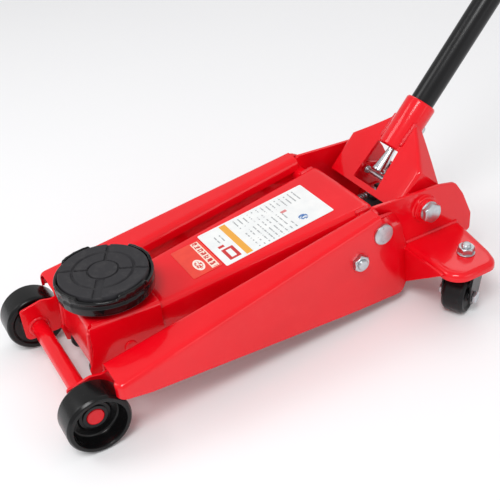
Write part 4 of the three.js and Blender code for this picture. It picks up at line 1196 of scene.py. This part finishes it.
def grip():
    """The rubber grip: a sleeve whose radius dips in a ring groove every 9 mm and swells at its
    lower collar, with 24 shallow flutes between the grooves and a domed, vented end."""
    height = np.linspace(880.0, 1010.0, 300)
    groove = np.exp(-(((height - 898.0) % 9.0 - 4.5) / 0.9) ** 2) * (height > 898) * (height < 996)
    collar = np.exp(-((height - 884.5) / 3.2) ** 2) * 1.2
    radius = 17.2 + collar - groove * 0.7
    into_dome = np.clip(height - 995.5, 0, None)
    radius = np.minimum(radius, 4.0 + np.sqrt(np.clip(14.5 ** 2 - into_dome ** 2, 0, None)))
    angle = np.linspace(0, 2 * np.pi, 144, endpoint=False)
    flutes = 0.28 * np.cos(24 * angle)[None] * ((height > 898) & (height < 992))[:, None]
    r = np.concatenate([np.full((1, 144), 16.2), radius[:, None] + flutes, np.full((1, 144), 4.0),
                        np.full((1, 144), 4.0), np.full((1, 144), 16.2)])
    h = np.concatenate([[880.0], height, [1009.6, 1007.0, 1007.0]])[:, None] * np.ones(144)
    grid = np.stack([TUBE_X + r * np.cos(angle), r * np.sin(angle), h], -1)
    return net(grid, close_u=True, close_v=True)


piece("handle_grip_moulding", in_yoke(grip()), grip_rubber, "handle", ["handle_grip"])
button = [(0, 15.0), (3, 15.0), (3, 16.6), (1.9, 17.9, 0.8), (0, 18.2)]
button = turned(button, 28, (0, 0, 0), "x")
place_button = np.eye(4)
place_button[:3, 3] = [TUBE_X, 0, 540.0]
piece("snap_button_pressed", in_yoke(place(button, place_button)), zinc, "handle", ["snap_button"])
coupler = [(0, 7.5), (8.0, 7.5, 0.5), (9.4, 9.5, 0.6), (9.0, 13.0, 0.4), (8.6, 14.0, 0.3), (5.4, 40.0, 1),
           (5.0, 58.0, 0.4), (12.9, 58.6, 0.5), (12.9, 70.0, 0.5), (0, 70.0)]
piece("release_coupler_turned", in_yoke(turned(coupler, 48, (TUBE_X, 0, 0))), chrome, "handle",
      ["release_coupler"])

# ---------------------------------------------------------------- casters

CASTER_X, CASTER_Y, CASTER_TURN = 492.0, 150.0, 25.0
CASTER_AXLE = (-14.0, 0, 25.0)  # from the stud, before the caster is turned


def caster_matrix(side):
    """Places a caster laid out along x about its stud, with its trail turned inwards."""
    angle = math.radians(-side * CASTER_TURN)
    turn = np.eye(4)
    turn[:2, :2] = [[math.cos(angle), -math.sin(angle)], [math.sin(angle), math.cos(angle)]]
    turn[:3, 3] = [CASTER_X, side * CASTER_Y, 0.0]
    return turn


for side, name in NAMES.items():
    turn, x, y = caster_matrix(side), CASTER_X, side * CASTER_Y
    stud = merged([six_sided(19.0, 78.8, 87.2, (x, y, 0), "z", 5.8), threaded(6.0, 60.0, 91.2, (x, y, 0)),
                   turned([(6.2, 77.4), (11.4, 77.4, 0.3), (11.4, 78.8, 0.3), (6.2, 78.8)], 40, (x, y, 0),
                          closed=True)])
    piece(f"caster_stud_{name}_faced", stud, zinc, "frame", [f"caster_stud_{name}"])
    race = [(6.4, 69.4), (20.2, 69.4, 0.8), (21.2, 67.8, 0.8), (20.4, 65.6, 0.6), (15.8, 64.8, 0.8),
            (6.4, 61.6)]
    legs = [(-15.4, 65, 2), (15.4, 65, 2), (12, 46, 12), (-2, 14, 10), (-25, 13.5, 11), (-24, 42, 16)]
    fork = merged([turned(race, 64, closed=True), plate(legs, -19.9, -17.1), plate(legs, 17.1, 19.9),
                   plate([(-14, 61.2, 1), (14, 61.2, 1), (14, 65.4, 1), (-14, 65.4, 1)], -19.8, 19.8)])
    piece(f"caster_fork_{name}_pressing", place(fork, turn), gloss_black, f"caster_{name}",
          [f"caster_fork_{name}"], bevel=0.6)
    axle = merged([
        turned([(0, -22), (4, -22), (4, 24.8, 0.6), (0, 24.8)], 28, CASTER_AXLE, "y"),
        six_sided(14.0, 20.3, 24.8, CASTER_AXLE, "y", 0.0, -1),
        six_sided(14.0, 20.3, 23.9, CASTER_AXLE, "y", 4.1, 1)])
    piece(f"caster_axle_{name}_faced", place(axle, turn), zinc, f"caster_{name}", [f"caster_axle_{name}"])
    wheel = [(4.4, -14.3), (8.6, -14.3, 0.6), (9.8, -12.3, 0.8), (17.8, -12.3, 1.0), (20, -14.3, 0.8),
             (22.6, -14.3, 1.5), (25, -10.4, 2.5), (25, 10.4, 2.5), (22.6, 14.3, 1.5), (20, 14.3, 0.8),
             (17.8, 12.3, 1.0), (9.8, 12.3, 0.8), (8.6, 14.3, 0.6), (4.4, 14.3)]
    piece(f"caster_wheel_{name}_moulding", place(turned(wheel, 72, CASTER_AXLE, "y", closed=True), turn),
          tyre_nylon, f"caster_wheel_{name}", [f"caster_wheel_{name}"])

# ---------------------------------------------------------------- studio


def studio():
    """A broad pale floor that ends beyond the camera's sight, a pale world and four soft lights."""
    mesh = bpy.data.meshes.new("floor")
    reach = 40.0
    mesh.from_pydata([(-reach, -reach, 0), (reach, -reach, 0), (reach, reach, 0), (-reach, reach, 0)], [],
                     [(0, 1, 2, 3)])
    f = Finish("pale_floor", Roughness=0.75, Specular_IOR_Level=0.2)
    cloud = f.noise(1.3, 2.0)
    f.colour(f.mix(cloud, rgb(252, 252, 253), rgb(249, 249, 251)))
    mesh.materials.append(f.material)
    floor = bpy.data.objects.new("floor", mesh)
    bpy.context.scene.collection.objects.link(floor)
    world = bpy.data.worlds.new("studio")
    world.use_nodes = True
    world.node_tree.nodes["Background"].inputs[0].default_value = (1.0, 1.0, 1.0, 1.0)
    world.node_tree.nodes["Background"].inputs[1].default_value = 0.58
    bpy.context.scene.world = world
    centre = (-0.25, 0.0, 0.1)
    softbox("key", (-1.2, -1.0, 2.2), centre, 0.9, 26)
    softbox("fill", (-1.9, 0.9, 1.6), centre, 0.9, 10)
    softbox("rim", (1.3, 1.2, 2.0), centre, 1.3, 6)
    softbox("side", (0.6, -2.2, 0.9), centre, 1.2, 5)


studio()
camera(position=(-0.71024, -0.8169, 0.7124), azimuth=-26.7186, elevation=34.2152, roll=-5.6357,
       lens=62.56, shift=(0.0110, 0.0052))
bpy.context.scene.view_settings.view_transform = "Standard"
